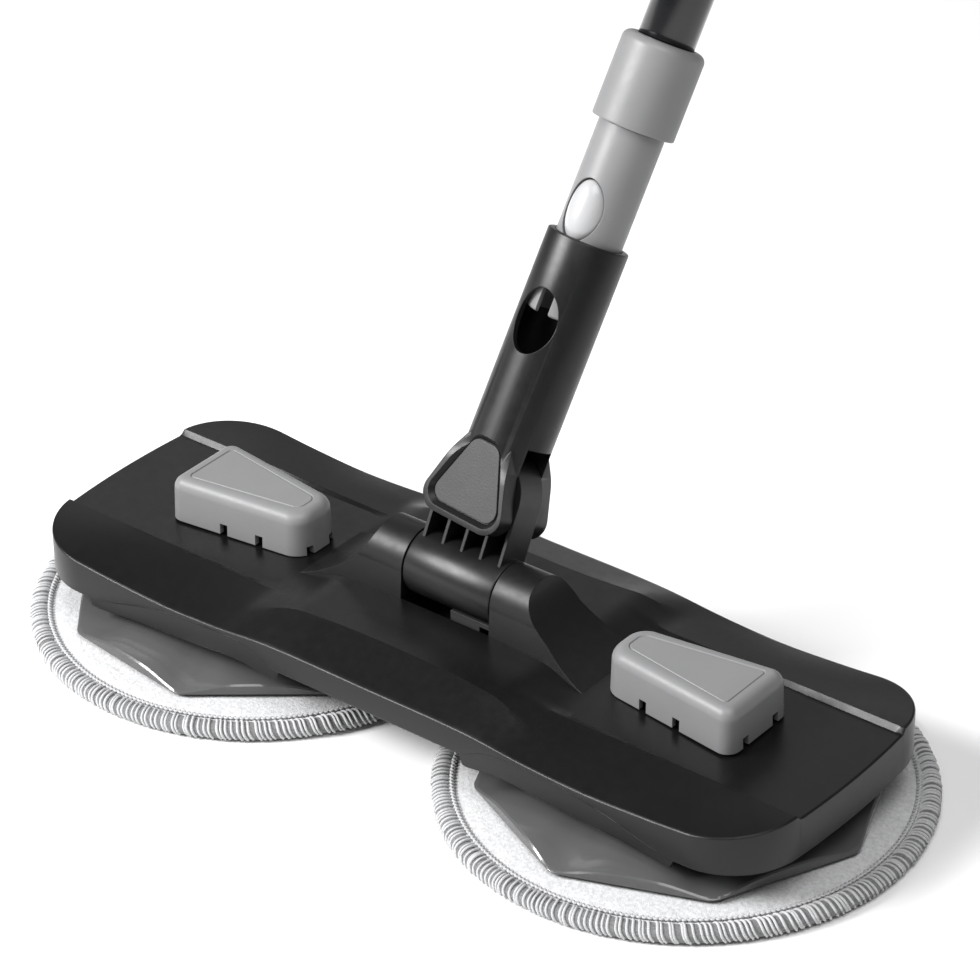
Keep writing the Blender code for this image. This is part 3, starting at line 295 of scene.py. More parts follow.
def lathe(profile, steps=96, closed=False):
    """Turn (radius, height) points about Z; a radius of 0 closes the end."""
    angles = np.linspace(0, 2 * math.pi, steps, endpoint=False)
    rings = [[(max(radius, 0.001) * math.cos(a), max(radius, 0.001) * math.sin(a), height)
              for a in angles] for radius, height in profile]
    if closed:
        rings.append(rings[0])
    return loft(rings, cap_first=not closed, cap_last=not closed)


def rounded(corners, steps=10):
    """Round each corner (x, y, radius) of a closed outline with an arc."""
    outline = []
    for index, (x, y, radius) in enumerate(corners):
        corner = np.array((x, y), float)
        before = np.array(corners[index - 1][:2]) - corner
        after = np.array(corners[(index + 1) % len(corners)][:2]) - corner
        before, after = before / np.linalg.norm(before), after / np.linalg.norm(after)
        half = math.acos(np.clip(before @ after, -1, 1)) / 2
        middle = (before + after) / np.linalg.norm(before + after)
        centre = corner + middle * radius / math.sin(half)
        start = corner + before * radius / math.tan(half) - centre
        end = corner + after * radius / math.tan(half) - centre
        first = math.atan2(start[1], start[0])
        turn = (math.atan2(end[1], end[0]) - first + math.pi) % (2 * math.pi) - math.pi
        for step in range(steps + 1):
            angle = first + turn * step / steps
            outline.append((centre[0] + radius * math.cos(angle),
                            centre[1] + radius * math.sin(angle)))
    return outline


def oval(half_x, half_y, centre=(0, 0), steps=64):
    return [(centre[0] + half_x * math.cos(2 * math.pi * i / steps),
             centre[1] + half_y * math.sin(2 * math.pi * i / steps)) for i in range(steps)]


LIFT = {"XY": lambda u, v, w: (u, v, w), "XZ": lambda u, v, w: (u, w, v),
        "YZ": lambda u, v, w: (w, u, v)}


def prism(outline, low, high, plane="XY", taper=None):
    """Extrude an outline; a second outline of as many points makes the far end."""
    lift = LIFT[plane]
    return loft([[lift(u, v, low) for u, v in outline],
                 [lift(u, v, high) for u, v in (taper or outline)]])


def block(low, high):
    return prism([(low[0], low[1]), (high[0], low[1]), (high[0], high[1]), (low[0], high[1])],
                 low[2], high[2])


def combine(target, operation, *tools):
    """Boolean the tools with the target and settle the result."""
    for other in tools:
        modifier = target.modifiers.new("combine", "BOOLEAN")
        modifier.operation = operation
        modifier.solver = "EXACT"
        modifier.object = other
    settle(target)
    for other in tools:
        bpy.data.objects.remove(other)
    return target


def settle(obj):
    """Replace an object's mesh by what its modifiers make of it."""
    bpy.context.view_layer.update()
    evaluated = obj.evaluated_get(bpy.context.evaluated_depsgraph_get())
    mesh = bpy.data.meshes.new_from_object(evaluated)
    obj.modifiers.clear()
    obj.data = mesh
    return obj


def chamfer(obj, width, angle=40, segments=2):
    """Soften the hard edges that a boolean left."""
    modifier = obj.modifiers.new("soften", "BEVEL")
    modifier.width = width
    modifier.segments = segments
    modifier.limit_method = "ANGLE"
    modifier.angle_limit = math.radians(angle)
    modifier.use_clamp_overlap = True
    return settle(obj)


def paint(obj, look):
    obj.data.materials.clear()
    obj.data.materials.append(LOOK[look])


def put(obj, name, matrix, body, look, nodes=(), sharp=32, weighted=False):
    """Name a finished shape, move it to its place and make it ride on a body."""
    obj.name = obj.data.name = name
    obj.data.transform(matrix)
    if matrix.determinant() < 0:
        obj.data.flip_normals()
    paint(obj, look)
    obj.data.shade_smooth()
    obj.data.set_sharp_from_angle(angle=math.radians(sharp))
    if weighted:
        modifier = obj.modifiers.new("weighted", "WEIGHTED_NORMAL")
        modifier.keep_sharp = True
        settle(obj)
    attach(obj, body)
    if nodes:
        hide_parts(*nodes)
    return obj


def smoothstep(value, low, high):
    t = np.clip((np.asarray(value, float) - low) / (high - low), 0, 1)
    return t * t * (3 - 2 * t)


def through(points, value):
    """A smooth curve through (x, y) points, level at both ends."""
    xs, ys = np.array(points, float).T
    slopes = np.gradient(ys, xs)
    slopes[0] = slopes[-1] = 0
    value = np.clip(value, xs[0], xs[-1])
    i = np.clip(np.searchsorted(xs, value) - 1, 0, len(xs) - 2)
    width = xs[i + 1] - xs[i]
    t = (value - xs[i]) / width
    return ((1 + 2 * t) * (1 - t) ** 2 * ys[i] + t * (1 - t) ** 2 * width * slopes[i]
            + t * t * (3 - 2 * t) * ys[i + 1] + t * t * (t - 1) * width * slopes[i + 1])


# ---- Top shell ----------------------------------------------------------------------------------
RIM_LINE = [(0, 36.6), (50, 36.2), (78, 34.0), (102, 33.2), (130, 34.6), (160, 37.0), (182, 37.2)]
BAND_LOWER = [(42, 26.2), (57, 31.4), (77, 32.4), (108, 29.0), (142, 21.6)]
GUARD_LOWER = [(45, 21.2), (61, 23.4), (87, 22.0), (116, 20.2), (141, 17.6)]


def outline_points(count=620):
    """Points and outward normals evenly round the head's outline."""
    bow, corner, bow_r = 5.0, 30.0, 350.0
    x, y = HALF_X, HALF_Y
    raw = rounded([(x, 0, bow_r), (x - bow, y, corner), (-x + bow, y, corner), (-x, 0, bow_r),
                   (-x + bow, -y, corner), (x - bow, -y, corner)], 40)
    raw = np.array(raw + raw[:1])
    reach = np.concatenate(([0], np.cumsum(np.linalg.norm(np.diff(raw, axis=0), axis=1))))
    wanted = np.linspace(0, reach[-1], count, endpoint=False)
    points = np.stack([np.interp(wanted, reach, raw[:, k]) for k in (0, 1)], 1)
    tangent = np.roll(points, -1, 0) - np.roll(points, 1, 0)
    tangent /= np.linalg.norm(tangent, axis=1)[:, None]
    normal = np.stack([tangent[:, 1], -tangent[:, 0]], 1)
    return points, normal


def crescent_y(x):
    """Inner edge of the long sloping facet beside the front and rear rim."""
    return CRESCENT_Y + (HALF_Y - CRESCENT_Y) * (np.abs(x) / CRESCENT_X) ** CRESCENT_POWER


def rim_z(x):
    return through(RIM_LINE, np.abs(x))


def deck_z(x, y):
    """Roof without the crescents: a plateau, then bands either side of a shallow channel."""
    x, y = np.abs(x), np.abs(y)
    floor = np.interp(x, (FALL_X[1], PAST_COVER_X), FLOOR_Z)
    inner = np.interp(x, (FALL_X[1], PAST_COVER_X), (FLOOR_Z[0] + BAND_RISE, BAND_Z))
    t = np.clip((y - BAND_Y) / (HALF_Y - BAND_Y), 0, 1)
    band = inner + (rim_z(x) + BAND_BULGE * (1 - t) - inner) * t
    step = smoothstep(y, BAND_Y - BAND_STEP, BAND_Y)
    outer = np.where(y < BAND_Y, floor + (inner - floor) * step, band)
    return ROOF_Z + (outer - ROOF_Z) * smoothstep(x, *FALL_X)


def roof_z(x, y):
    x, y = np.asarray(x, float), np.asarray(y, float)
    edge = crescent_y(x)
    top = deck_z(x, y)
    t = np.clip((np.abs(y) - edge) / np.maximum(HALF_Y - edge, 0.01), 0, 1)
    at_edge = deck_z(x, edge)
    slope = at_edge + (rim_z(x) - at_edge) * t
    return np.where((np.abs(x) < CRESCENT_X) & (np.abs(y) > edge), slope, top)


def top_shell():
    points, normal = outline_points()
    count = len(points)
    insets = (0.0, 0.12, 0.35, EDGE_R, 2.0)
    coords, edges = [], []
    for inset in insets:
        base = len(coords)
        coords += [tuple(p) for p in points - normal * inset]
        edges += [(base + i, base + (i + 1) % count) for i in range(count)]

    def line(path, closed=False):
        base = len(coords)
        coords.extend((float(x), float(y)) for x, y in path)
        edges.extend((base + i, base + i + 1) for i in range(len(path) - 1))
        if closed:
            edges.append((base + len(path) - 1, base))
        return list(range(base, base + len(path)))

    crest = np.linspace(-CRESCENT_X, CRESCENT_X, 141)
    crest = crest[crescent_y(crest) < HALF_Y - CREST_GAP]
    for sign in (-1, 1):
        line([(x, sign * crescent_y(x)) for x in crest])
        for side in (-1, 1):
            run = np.linspace(FALL_X[0], HALF_X - BAND_GAP, 60)
            for y in (BAND_Y - BAND_STEP, BAND_Y):
                line([(side * x, sign * y) for x in run])
    wx, wy = TOWER_X, WELL_Y
    along_x, along_y = np.linspace(-wx, wx, 20), np.linspace(-wy, wy, 16)
    rim = [(x, -wy) for x in along_x] + [(wx, y) for y in along_y[1:]]
    rim += [(x, wy) for x in along_x[::-1][1:]] + [(-wx, y) for y in along_y[::-1][1:-1]]
    well = line(rim, closed=True)

    tree = kdtree.KDTree(count)
    for i, (x, y) in enumerate(points):
        tree.insert((x, y, 0), i)
    tree.balance()
    off_well, off_crest, off_step = 1, 0.8, 2.0
    step_middle = BAND_STEP / 2
    for x in np.arange(-HALF_X, HALF_X, GRID):
        for y in np.arange(-HALF_Y, HALF_Y, GRID):
            inside_well = abs(x) < wx + off_well and abs(y) < wy + off_well
            near_crest = abs(x) < CRESCENT_X and abs(abs(y) - crescent_y(x)) < off_crest
            near_band = (abs(x) > FALL_X[0] - 1
                         and abs(abs(y) - BAND_Y + step_middle) < off_step)
            _, j, gap = tree.find((x, y, 0))
            within = (points[j] - (x, y)) @ normal[j] > 0 and gap > GRID_GAP
            if within and not (inside_well or near_crest or near_band):
                coords.append((x, y))
    verts, _, faces, origins, _, _ = geometry.delaunay_2d_cdt(
        [Vector(c) for c in coords], edges, [], 0, 1e-5)
    xy = np.array([tuple(v) for v in verts])
    distance = np.empty(len(xy))
    for i, (x, y) in enumerate(xy):
        _, j, _ = tree.find((x, y, 0))
        distance[i] = max(0.0, (points[j] - (x, y)) @ normal[j])
    drop = np.where(distance < EDGE_R,
                    EDGE_R - np.sqrt(np.maximum(EDGE_R ** 2 - (EDGE_R - distance) ** 2, 0)), 0)
    z = roof_z(xy[:, 0], xy[:, 1]) - drop
    body = [(x, y, h) for (x, y), h in zip(xy, z)]
    keep = []
    for face in faces:
        cx, cy = xy[list(face)].mean(0)
        if not (abs(cx) < wx and abs(cy) < wy):
            keep.append(tuple(face))
    new_of = {old: new for new, olds in enumerate(origins) for old in olds}

    def row(shift, heights):
        base = len(body)
        body.extend((x, y, h) for (x, y), h in zip(points - normal * shift, heights))
        return [base + i for i in range(count)]

    def skin(upper, lower):
        total = len(upper)
        keep.extend((upper[i], lower[i], lower[(i + 1) % total], upper[(i + 1) % total])
                    for i in range(total))

    x = np.abs(points[:, 0])
    on_side = np.abs(points[:, 1]) > HALF_Y - SIDE_DEPTH
    least_skirt, guard_lip = 1.0, 0.3
    band_low = through(BAND_LOWER, x)
    band_low = np.minimum(band_low, z[[new_of[i] for i in range(count)]] - least_skirt)
    guarded = smoothstep(x, *GUARD_IN_X) * (1 - smoothstep(x, *GUARD_OUT_X)) * on_side
    guard_low = np.where(guarded > 0, through(GUARD_LOWER, x), band_low)
    guard_low = band_low - guard_lip + (np.minimum(guard_low, band_low) - band_low) * guarded
    start, length = GUARD_BULGE_X
    bulge = GUARD_BULGE * np.sin(np.clip((x - start) / length, 0, 1) * math.pi) * on_side
    lip, foot = 0.9, 1.3
    rows = [[new_of[i] for i in range(count)],
            row(0.0, band_low + 0.5), row(0.12, band_low + 0.15), row(0.5, band_low),
            row(lip, band_low)]
    rows.append(row((lip - bulge * 0.7)[:, None], (band_low + guard_low) / 2))
    rows.append(row((lip - bulge)[:, None], guard_low + 0.4))
    rows.append(row((foot - bulge)[:, None], guard_low))
    rows.append(row(SKIRT_WALL, guard_low))
    rows.append(row(SKIRT_WALL, np.full(count, SKIRT_INNER_Z)))
    for upper, lower in zip(rows, rows[1:]):
        skin(upper, lower)
    top = [new_of[i] for i in well]
    base = len(body)
    body.extend((*xy[i], WELL_FLOOR_Z) for i in top)
    floor = [base + i for i in range(len(top))]
    skin(top, floor)
    keep.append(tuple(floor))
    shell = facing_out(helper(body, keep))
    put(shell, "shell_body", HEAD, "head", "shell", ["top_shell"], sharp=16)


def tower(side):
    """Half-round over the hinge, flanks that flare outwards, and a scoop down to the motor cover."""
    sign = SIDES[side]
    arc = [math.pi * (1 - i / 48) for i in range(49)]

    def section(x, foot, base):
        over = [(x, KNUCKLE_R * math.cos(a), HINGE_Z + KNUCKLE_R * math.sin(a)) for a in arc]
        return [(x, -foot, base)] + over + [(x, foot, base)]

    crest, end, outer, top = 36.5, 76.0, 68.4, HINGE_Z + KNUCKLE_R
    inner_foot, outer_foot = 14.0, 18.5
    inner_base, outer_base = ROOF_Z - 0.8, 37.8
    solid = loft([section(TOWER_X, inner_foot, inner_base), section(outer, outer_foot, outer_base)])
    depth, power = 29.9, 1.6
    below, above = 30, top + 5
    scoop = [(end - (end - crest) * math.cos(a) ** (2 / power),
              top - depth * math.sin(a) ** (2 / power))
             for a in (math.pi / 2 * i / 60 for i in range(61))]
    along = [(TOWER_X - 1, below), (TOWER_X - 1, above), (crest, above)] + scoop + [(end, below)]
    combine(solid, "INTERSECT", prism(along, -THROUGH, THROUGH, "XZ"))
    chamfer(solid, 0.45, 30, 3)
    if sign < 0:
        solid.data.transform(Matrix.Scale(-1, 4, (1, 0, 0)))
        solid.data.flip_normals()
    put(solid, f"hinge_tower_{side}", HEAD, "head", "tower", weighted=True)


# ---- Motor covers -------------------------------------------------------------------------------
def motor_cover(side):
    sign = SIDES[side]
    low, high = span(f"motor_cover_{side}", HEAD)
    foot, top = low[2], high[2]
    inboard, outboard = -30.0, 33.5
    narrow, wide = 11.5, 19.25

    def outline(inset, nose, corner):
        nose, corner = max(nose - inset * 0.8, 0.6), max(corner - inset * 0.8, 0.6)
        return rounded([(inboard + inset, -narrow + inset, nose),
                        (outboard - inset, -wide + inset, corner),
                        (outboard - inset, wide - inset, corner),
                        (inboard + inset, narrow - inset, nose)], 14)

    def ring(inset, height, nose=9.5, corner=5.5):
        return [(DISC_X * sign + sign * x, y, height) for x, y in outline(inset, nose, corner)]

    shoulder, draft = 5.0, 0.5
    rings = [ring(0.0, foot), ring(draft, top - shoulder)]
    for step in range(1, 11):
        angle = math.pi / 2 * step / 10
        rings.append(ring(draft + shoulder * (1 - math.cos(angle)) * 0.9,
                          top - shoulder * (1 - math.sin(angle))))
    groove = 6.4
    for inset, depth in ((groove - 0.25, 0.0), (groove, 0.35), (groove + 0.35, 0.35),
                         (groove + 0.6, 0.05)):
        rings.append(ring(inset, top - depth, 9.0, 7.0))
    cap = loft(rings)
    tools = []
    notch, under = 1.7, foot - 1
    side_up, end_up, nose_up = foot + 4.6, foot + 4.2, foot + 3.6
    for x in (-9.5, 7.0):
        tools.append(block((DISC_X * sign + sign * x - notch, -30, under),
                           (DISC_X * sign + sign * x + notch, 30, side_up)))
    for y in (-9.2, 9.2):
        ends = sorted((sign * (DISC_X + outboard - 3), sign * (DISC_X + outboard + 3)))
        tools.append(block((ends[0], y - notch, under), (ends[1], y + notch, end_up)))
    nose = sorted((sign * (DISC_X + inboard - 3), sign * (DISC_X + inboard + 4)))
    for near, far in ((-7.6, -4.6), (4.6, 7.6)):
        tools.append(block((nose[0], near, under), (nose[1], far, nose_up)))
    # A near-black block inside the cover: painted shade that darkens the notches cut into the cover's
    # foot.
    shade_block = prism([(DISC_X * sign + sign * x, y) for x, y in outline(2.2, 9.5, 5.5)],
                 foot - 0.6, foot + 8)
    combine(cap, "DIFFERENCE", *tools)
    put(cap, f"motor_cap_{side}", HEAD, "head", "cover", [f"motor_cover_{side}"],
        sharp=40)
    put(shade_block, f"motor_cap_shade_fill_{side}", HEAD, "head", "well")


# ---- Drive plates and pads ----------------------------------------------------------------------
PLATE_TURN = {"left": math.radians(15.0), "right": math.radians(-1.5)}


def drive_plate(side):
    """Eight-pointed dish: a cone to a shoulder, then a wavy rim that droops to each corner."""
    low, high = span(f"drive_plate_{side}", DISC[side])
    tip_r, base, hub_z = 79.0, low[2], high[2]
    bore_r, under_r = 6.4, 40
    rim_rise, corner_droop, hub_drop = 4.6, 3.3, 4.6
    cone_share, rim_share = 0.43, 0.975
    steps = 384
    angles = np.linspace(0, 2 * math.pi, steps, endpoint=False)
    wave = np.abs(((angles - PLATE_TURN[side]) / (math.pi / 4) + 0.5) % 1 - 0.5) * 2
    corner = (angles - PLATE_TURN[side]) % (math.pi / 4) - math.pi / 8
    edge = tip_r * math.cos(math.pi / 8) / np.cos(corner)
    edge = np.minimum(edge, tip_r - 0.6)
    tip = np.exp(-(wave / 0.42) ** 2)
    rim_top = base + rim_rise - corner_droop * tip
    rings = [[(bore_r * math.cos(a), bore_r * math.sin(a), hub_z) for a in angles]]
    for radius, height in ((13.6, 0.0), (14.2, -0.5), (15.0, -2.4), (20, -3.6), (34, -4.6)):
        rings.append([(radius * math.cos(a), radius * math.sin(a), hub_z + height)
                      for a in angles])
    for share, blend in ((0.62, 0.25), (0.72, 0.5), (0.80, 0.8), (0.86, 1.0), (0.93, 1.0),
                         (rim_share, 1.0)):
        shoulder = hub_z - hub_drop - (share - cone_share) * 3.2
        height = shoulder + (rim_top + (rim_share - share) * 12 - shoulder) * blend
        rings.append([(e * share * math.cos(a), e * share * math.sin(a), h)
                      for a, e, h in zip(angles, edge, height)])
    for share, lower in ((0.99, 0.25), (1.0, 0.9)):
        rings.append([(e * share * math.cos(a), e * share * math.sin(a), max(h - lower, base))
                      for a, e, h in zip(angles, edge, rim_top)])
    rings.append([(e * math.cos(a), e * math.sin(a), base) for a, e in zip(angles, edge)])
    rings.append([(under_r * math.cos(a), under_r * math.sin(a), base) for a in angles])
    rings.append([(bore_r * math.cos(a), bore_r * math.sin(a), base + 4) for a in angles])
    rings.append(rings[0])
    plate = loft(rings, cap_first=False, cap_last=False)
    put(plate, f"plate_{side}", DISC[side], f"disc_{side}", "plate", [f"drive_plate_{side}"],
        sharp=28)


def mop_pad(side):
    """A fluffy disc inside a rolled border, bound with overlocked thread."""
    _, high = span(f"mop_pad_{side}", DISC[side])
    radius, height = high[0], high[2]
    roll_r, roll_half_z = 3.8, 3.1
    roll_at = radius - 4.3
    pile_r = 80
    random = np.random.default_rng(7 if side == "left" else 11)
    steps = 256
    angles = np.linspace(0, 2 * math.pi, steps, endpoint=False)
    radii = np.concatenate((np.linspace(0.5, pile_r, 54), np.linspace(pile_r + 1, roll_at - 1.5, 7)))
    top = []
    for r in radii:
        crown = height - 0.5 + 0.5 * math.cos(r / pile_r * math.pi)
        dip = 0.9 * smoothstep(r, 79, 86)
        wisp = random.normal(0, 0.10, steps)
        wisp = (wisp + np.roll(wisp, 1) + np.roll(wisp, -1)) / 3
        top.append([(r * math.cos(a), r * math.sin(a), crown - float(dip) + w)
                    for a, w in zip(angles, wisp)])
    under = [[(r * math.cos(a), r * math.sin(a), 0.0) for a in angles]
             for r in (roll_at - 1.5, 60, 30, 0.5)]
    body = loft(top + under)
    put(body, f"pad_pile_{side}", DISC[side], f"disc_{side}", "pile", [f"mop_pad_{side}"],
        sharp=180)
    ring_steps = 288
    profile = [math.radians(20 * i) for i in range(18)]
    rings = []
    for i in range(ring_steps):
        a = 2 * math.pi * i / ring_steps
        swell = 1 + 0.05 * math.sin(5 * a + 1) + 0.03 * math.sin(13 * a)
        rings.append([((roll_at + roll_r * math.cos(p)) * math.cos(a),
                       (roll_at + roll_r * math.cos(p)) * math.sin(a),
                       PAD_ROLL_Z + roll_half_z * swell * math.sin(p)) for p in profile])
    rings.append(rings[0])
    roll = loft(rings, cap_first=False, cap_last=False)
    put(roll, f"pad_border_{side}", DISC[side], f"disc_{side}", "edging",
        sharp=180)
    overlock(side, roll_at, roll_r)


def strand(path, thick, sides=6):
    """Vertices and faces of a thread along a path of points."""
    path = np.array(path, float)
    tangent = np.gradient(path, axis=0)
    tangent /= np.linalg.norm(tangent, axis=1)[:, None]
    guide = np.where(np.abs(tangent[:, 2:3]) > 0.9, (1.0, 0, 0), (0, 0, 1.0))
    u = np.cross(tangent, guide)
    u /= np.linalg.norm(u, axis=1)[:, None]
    v = np.cross(tangent, u)
    thick = np.broadcast_to(thick, len(path))
    rings = [p + t * (math.cos(a) * uu + math.sin(a) * vv)
             for p, t, uu, vv in zip(path, thick, u, v)
             for a in np.linspace(0, 2 * math.pi, sides, endpoint=False)]
    faces = [(r * sides + i, r * sides + (i + 1) % sides, (r + 1) * sides + (i + 1) % sides,
              (r + 1) * sides + i) for r in range(len(path) - 1) for i in range(sides)]
    faces += [tuple(reversed(range(sides))),
              tuple(range((len(path) - 1) * sides, len(path) * sides))]
    return rings, faces


def overlock(side, roll_at, roll_r):
    """Slanted loops over the border and a chain of small loops at its inner edge."""
    loops, loop_half_z = 270, 3.2
    first_turn, whole_turn = 168, 200
    chain_z, thread_r = 5.9, 0.5
    verts, faces = [], []
    random = np.random.default_rng(3 if side == "left" else 5)

    def add(path, thick):
        base = len(verts)
        more, quads = strand(path, thick)
        verts.extend(tuple(p) for p in more)
        faces.extend(tuple(base + i for i in quad) for quad in quads)

    pitch = 2 * math.pi / loops
    for loop in range(loops):
        start = loop * pitch
        wander, swell = random.uniform(-0.35, 0.35), random.uniform(-0.12, 0.25)
        path = []
        for step in range(11):
            t = step / 10
            turn = math.radians(first_turn - whole_turn * t)
            a = start + pitch * (1.9 * t + wander + 0.2 * math.sin(2 * math.pi * t))
            r = roll_at + (roll_r + swell) * math.cos(turn)
            path.append((r * math.cos(a), r * math.sin(a),
                         PAD_ROLL_Z + (loop_half_z + swell) * math.sin(turn)))
        add(path, thread_r + 0.12 * random.random())
        path = []
        for step in range(7):
            t = step / 6
            a = start + pitch * (1.25 * t - 0.1)
            r = roll_at - roll_r - 1.2 + 1.5 * math.sin(math.pi * t)
            path.append((r * math.cos(a), r * math.sin(a), chain_z + 0.5 * math.sin(math.pi * t)))
        add(path, thread_r)
    stitches = helper(verts, faces)
    put(stitches, f"pad_stitches_{side}", DISC[side], f"disc_{side}", "thread",
        sharp=180)


# ---- Hinge --------------------------------------------------------------------------------------
def knuckle():
    half = 20.8
    profile = [(0, -half), (KNUCKLE_R - 0.7, -half), (KNUCKLE_R - 0.2, -half + 0.2),
               (KNUCKLE_R, -half + 0.7), (KNUCKLE_R, half - 0.7), (KNUCKLE_R - 0.2, half - 0.2),
               (KNUCKLE_R - 0.7, half), (0, half)]
    barrel = lathe(profile, 128)
    barrel.data.transform(Matrix.Rotation(math.pi / 2, 4, "Y"))
    width, thick, pin_s = 37.6, 15.2, PIN_UP * 1000
    rib_thick, ribs = 1.5, 5
    arc = [math.pi * i / 32 for i in range(33)]
    outline = [(-width / 2, 2), (width / 2, 2)]
    outline += [(width / 2 * math.cos(a), pin_s + width / 2 * math.sin(a)) for a in arc]
    middle = -TUBE_FORWARD
    tongue = prism(outline, middle - thick / 2, middle + thick / 2, "XZ")
    pitch = (width - rib_thick) / (ribs - 1)
    pocket_foot, pocket_top, back_wall = 8, pin_s - 5, 4
    tools = []
    for rib in range(ribs - 1):
        low = -width / 2 + rib_thick + rib * pitch
        tools.append(block((low, -30, pocket_foot),
                           (low + pitch - rib_thick, middle + thick / 2 - back_wall, pocket_top)))
    combine(tongue, "DIFFERENCE", *tools)
    chamfer(tongue, 0.25, 40)
    web_x, web_y, web_z = (-1.6, 0.4), (-1.0, 3.5), (12, pin_s - 6)
    webs = []
    for rib in range(1, ribs - 1):
        at = -width / 2 + rib_thick / 2 + rib * pitch
        webs.append(block((at + web_x[0], middle + web_y[0], web_z[0]),
                          (at + web_x[1], middle + web_y[1], web_z[1])))
    for number, web in enumerate(webs, 1):
        put(chamfer(web, 0.3, 40), f"tongue_web_{number}", HANDLE, "knuckle", "knuckle")
    put(tongue, "tongue", HANDLE, "knuckle", "knuckle", weighted=True)
    put(barrel, "hinge_barrel", HANDLE, "knuckle", "knuckle", ["knuckle"], sharp=40)


# ---- Neck ---------------------------------------------------------------------------------------
def neck():
    low, high = span("neck_yoke", POLE)
    tube_r, bore_r = 16.0, 13.5
    bottom, shoulder, merge = low[2], 46.0, 62.0
    mouth = high[2]
    front = 16.0
    foot_half, shoulder_half, merge_half = 21.5, 13.2, 7.0
    face = rounded([(-foot_half, bottom, 7.5), (foot_half, bottom, 7.5),
                    (shoulder_half, shoulder, 24), (merge_half, merge, 6),
                    (-merge_half, merge, 6), (-shoulder_half, shoulder, 24)], 16)
    side = rounded([(-front, bottom - 3, 0.1), (front, bottom - 3, 0.1), (front, shoulder - 2, 20),
                    (9, merge + 2, 0.1), (-9, merge + 2, 0.1), (-front, shoulder - 2, 20)], 12)
    ears = prism(face, -front, front, "XZ")
    combine(ears, "INTERSECT", prism(side, -THROUGH, THROUGH, "YZ"))
    chamfer(ears, 1.0, 50, 4)
    ring = 96
    profile = [(0, shoulder - 6), (tube_r, shoulder - 6), (tube_r, mouth - 0.6),
               (tube_r - 0.15, mouth - 0.2), (tube_r - 0.6, mouth), (0, mouth)]
    combine(ears, "UNION", lathe(profile, ring))

    def pick(foot_half, foot_z, foot_r, top_half, top_z, top_r):
        """A rounded trapezium, wide at its foot."""
        return rounded([(-foot_half, foot_z, foot_r), (foot_half, foot_z, foot_r),
                        (top_half, top_z, top_r), (-top_half, top_z, top_r)], 14)

    pick_mouth = pick(19.7, bottom + 2.0, 6.4, 7.4, bottom + 34.5, 6.4)
    pick_floor = pick(17.4, bottom + 4.0, 4.8, 6.0, bottom + 32.6, 5.0)
    recess = prism(pick_mouth, -front - 0.1, -front + 2.2, "XZ", taper=pick_floor)
    combine(ears, "DIFFERENCE", recess)
    shrink, centre = 0.985, 18
    pad = prism([(u * shrink, bottom + centre + (v - bottom - centre) * shrink)
                 for u, v in pick_floor], -front + 1.5, -front + 3.0, "XZ")
    put(chamfer(pad, 0.35, 40), "ear_pad", POLE, "neck", "neck_pad",
        weighted=True)
    gap_half, gap_top = 8.1, 56.0
    gap = prism([(-gap_half, bottom - 9), (gap_half, bottom - 9), (gap_half, gap_top),
                 (-gap_half, gap_top)], -THROUGH, THROUGH, "YZ")
    bore_foot, window_z = 58, 102.0
    window_half, window_reach = 9.0, 13.0
    bore = lathe([(0, bore_foot), (bore_r, bore_foot), (bore_r, mouth + 5), (0, mouth + 5)], ring)
    window = prism(oval(window_half, window_reach, (0, window_z)), -THROUGH, -5, "XZ")
    combine(ears, "DIFFERENCE", gap, bore, window)
    put(ears, "neck_body", POLE, "neck", "neck", ["neck_yoke"], sharp=38)


# ---- Pole ---------------------------------------------------------------------------------------
BUTTON_S = 146.5


def adapter():
    low, high = span("pole_adapter", POLE)
    radius, wall = high[0], 2.2
    bottom, top = low[2], high[2]
    profile = [(radius, top), (radius, bottom + 1.2), (radius - 0.4, bottom + 0.4),
               (radius - 1.2, bottom), (radius - wall, bottom), (radius - wall, top)]
    tube = lathe(profile, 128, closed=True)
    hole_half, hole_reach = 8.1, 12.3
    slot_half, slot_foot, slot_top = 3, bottom - 6, bottom + 11.5
    hole = prism(oval(hole_half, hole_reach, (0, BUTTON_S)), -THROUGH, 0, "XZ")
    slot = prism(rounded([(-slot_half, slot_foot, 0.1), (slot_half, slot_foot, 0.1),
                          (slot_half, slot_top, 2.9), (-slot_half, slot_top, 2.9)], 12),
                 -THROUGH, 0, "XZ")
    combine(tube, "DIFFERENCE", hole, slot)
    put(tube, "adapter_tube", POLE, "pole", "adapter", ["pole_adapter"], sharp=38)
    # A near-black sleeve inside the tube: painted shade seen through the button hole and the slot.
    shade_sleeve = lathe([(radius - wall - 0.1, top - 1), (radius - wall - 0.1, bottom + 14),
                    (radius - wall - 1, bottom + 14), (radius - wall - 1, top - 1)], 64, True)
    put(shade_sleeve, "adapter_shade_fill", POLE, "pole", "well")


def button():
    """A smooth dome over an oval, following the tube's curve."""
    half_x, half_s, crown_r = 7.6, 11.8, 14.6
    dome_sink, dome_power, root_y = 3.4, 2.4, -6.0
    steps, rows = 96, 16
    rings = []
    for row in range(rows + 1):
        share = math.sin(math.pi / 2 * row / rows)
        rings.append([])
        for i in range(steps):
            a = 2 * math.pi * i / steps
            x, s = half_x * share * math.cos(a), half_s * share * math.sin(a)
            sink = dome_sink * (1 - math.sqrt(max(1 - share ** dome_power, 0)))
            rings[-1].append((x, -math.sqrt(crown_r ** 2 - x * x) + sink, BUTTON_S + s))
    rings.append([(half_x * math.cos(2 * math.pi * i / steps), root_y,
                   BUTTON_S + half_s * math.sin(2 * math.pi * i / steps)) for i in range(steps)])
    dome = loft(rings)
    put(dome, "button_dome", POLE, "release_button", "button", ["release_button"],
        sharp=60)


def arc_profile(centre_r, centre_z, radius, start, end, steps=8):
    return [(centre_r + radius * math.cos(math.radians(start + (end - start) * i / steps)),
             centre_z + radius * math.sin(math.radians(start + (end - start) * i / steps)))
            for i in range(steps + 1)]


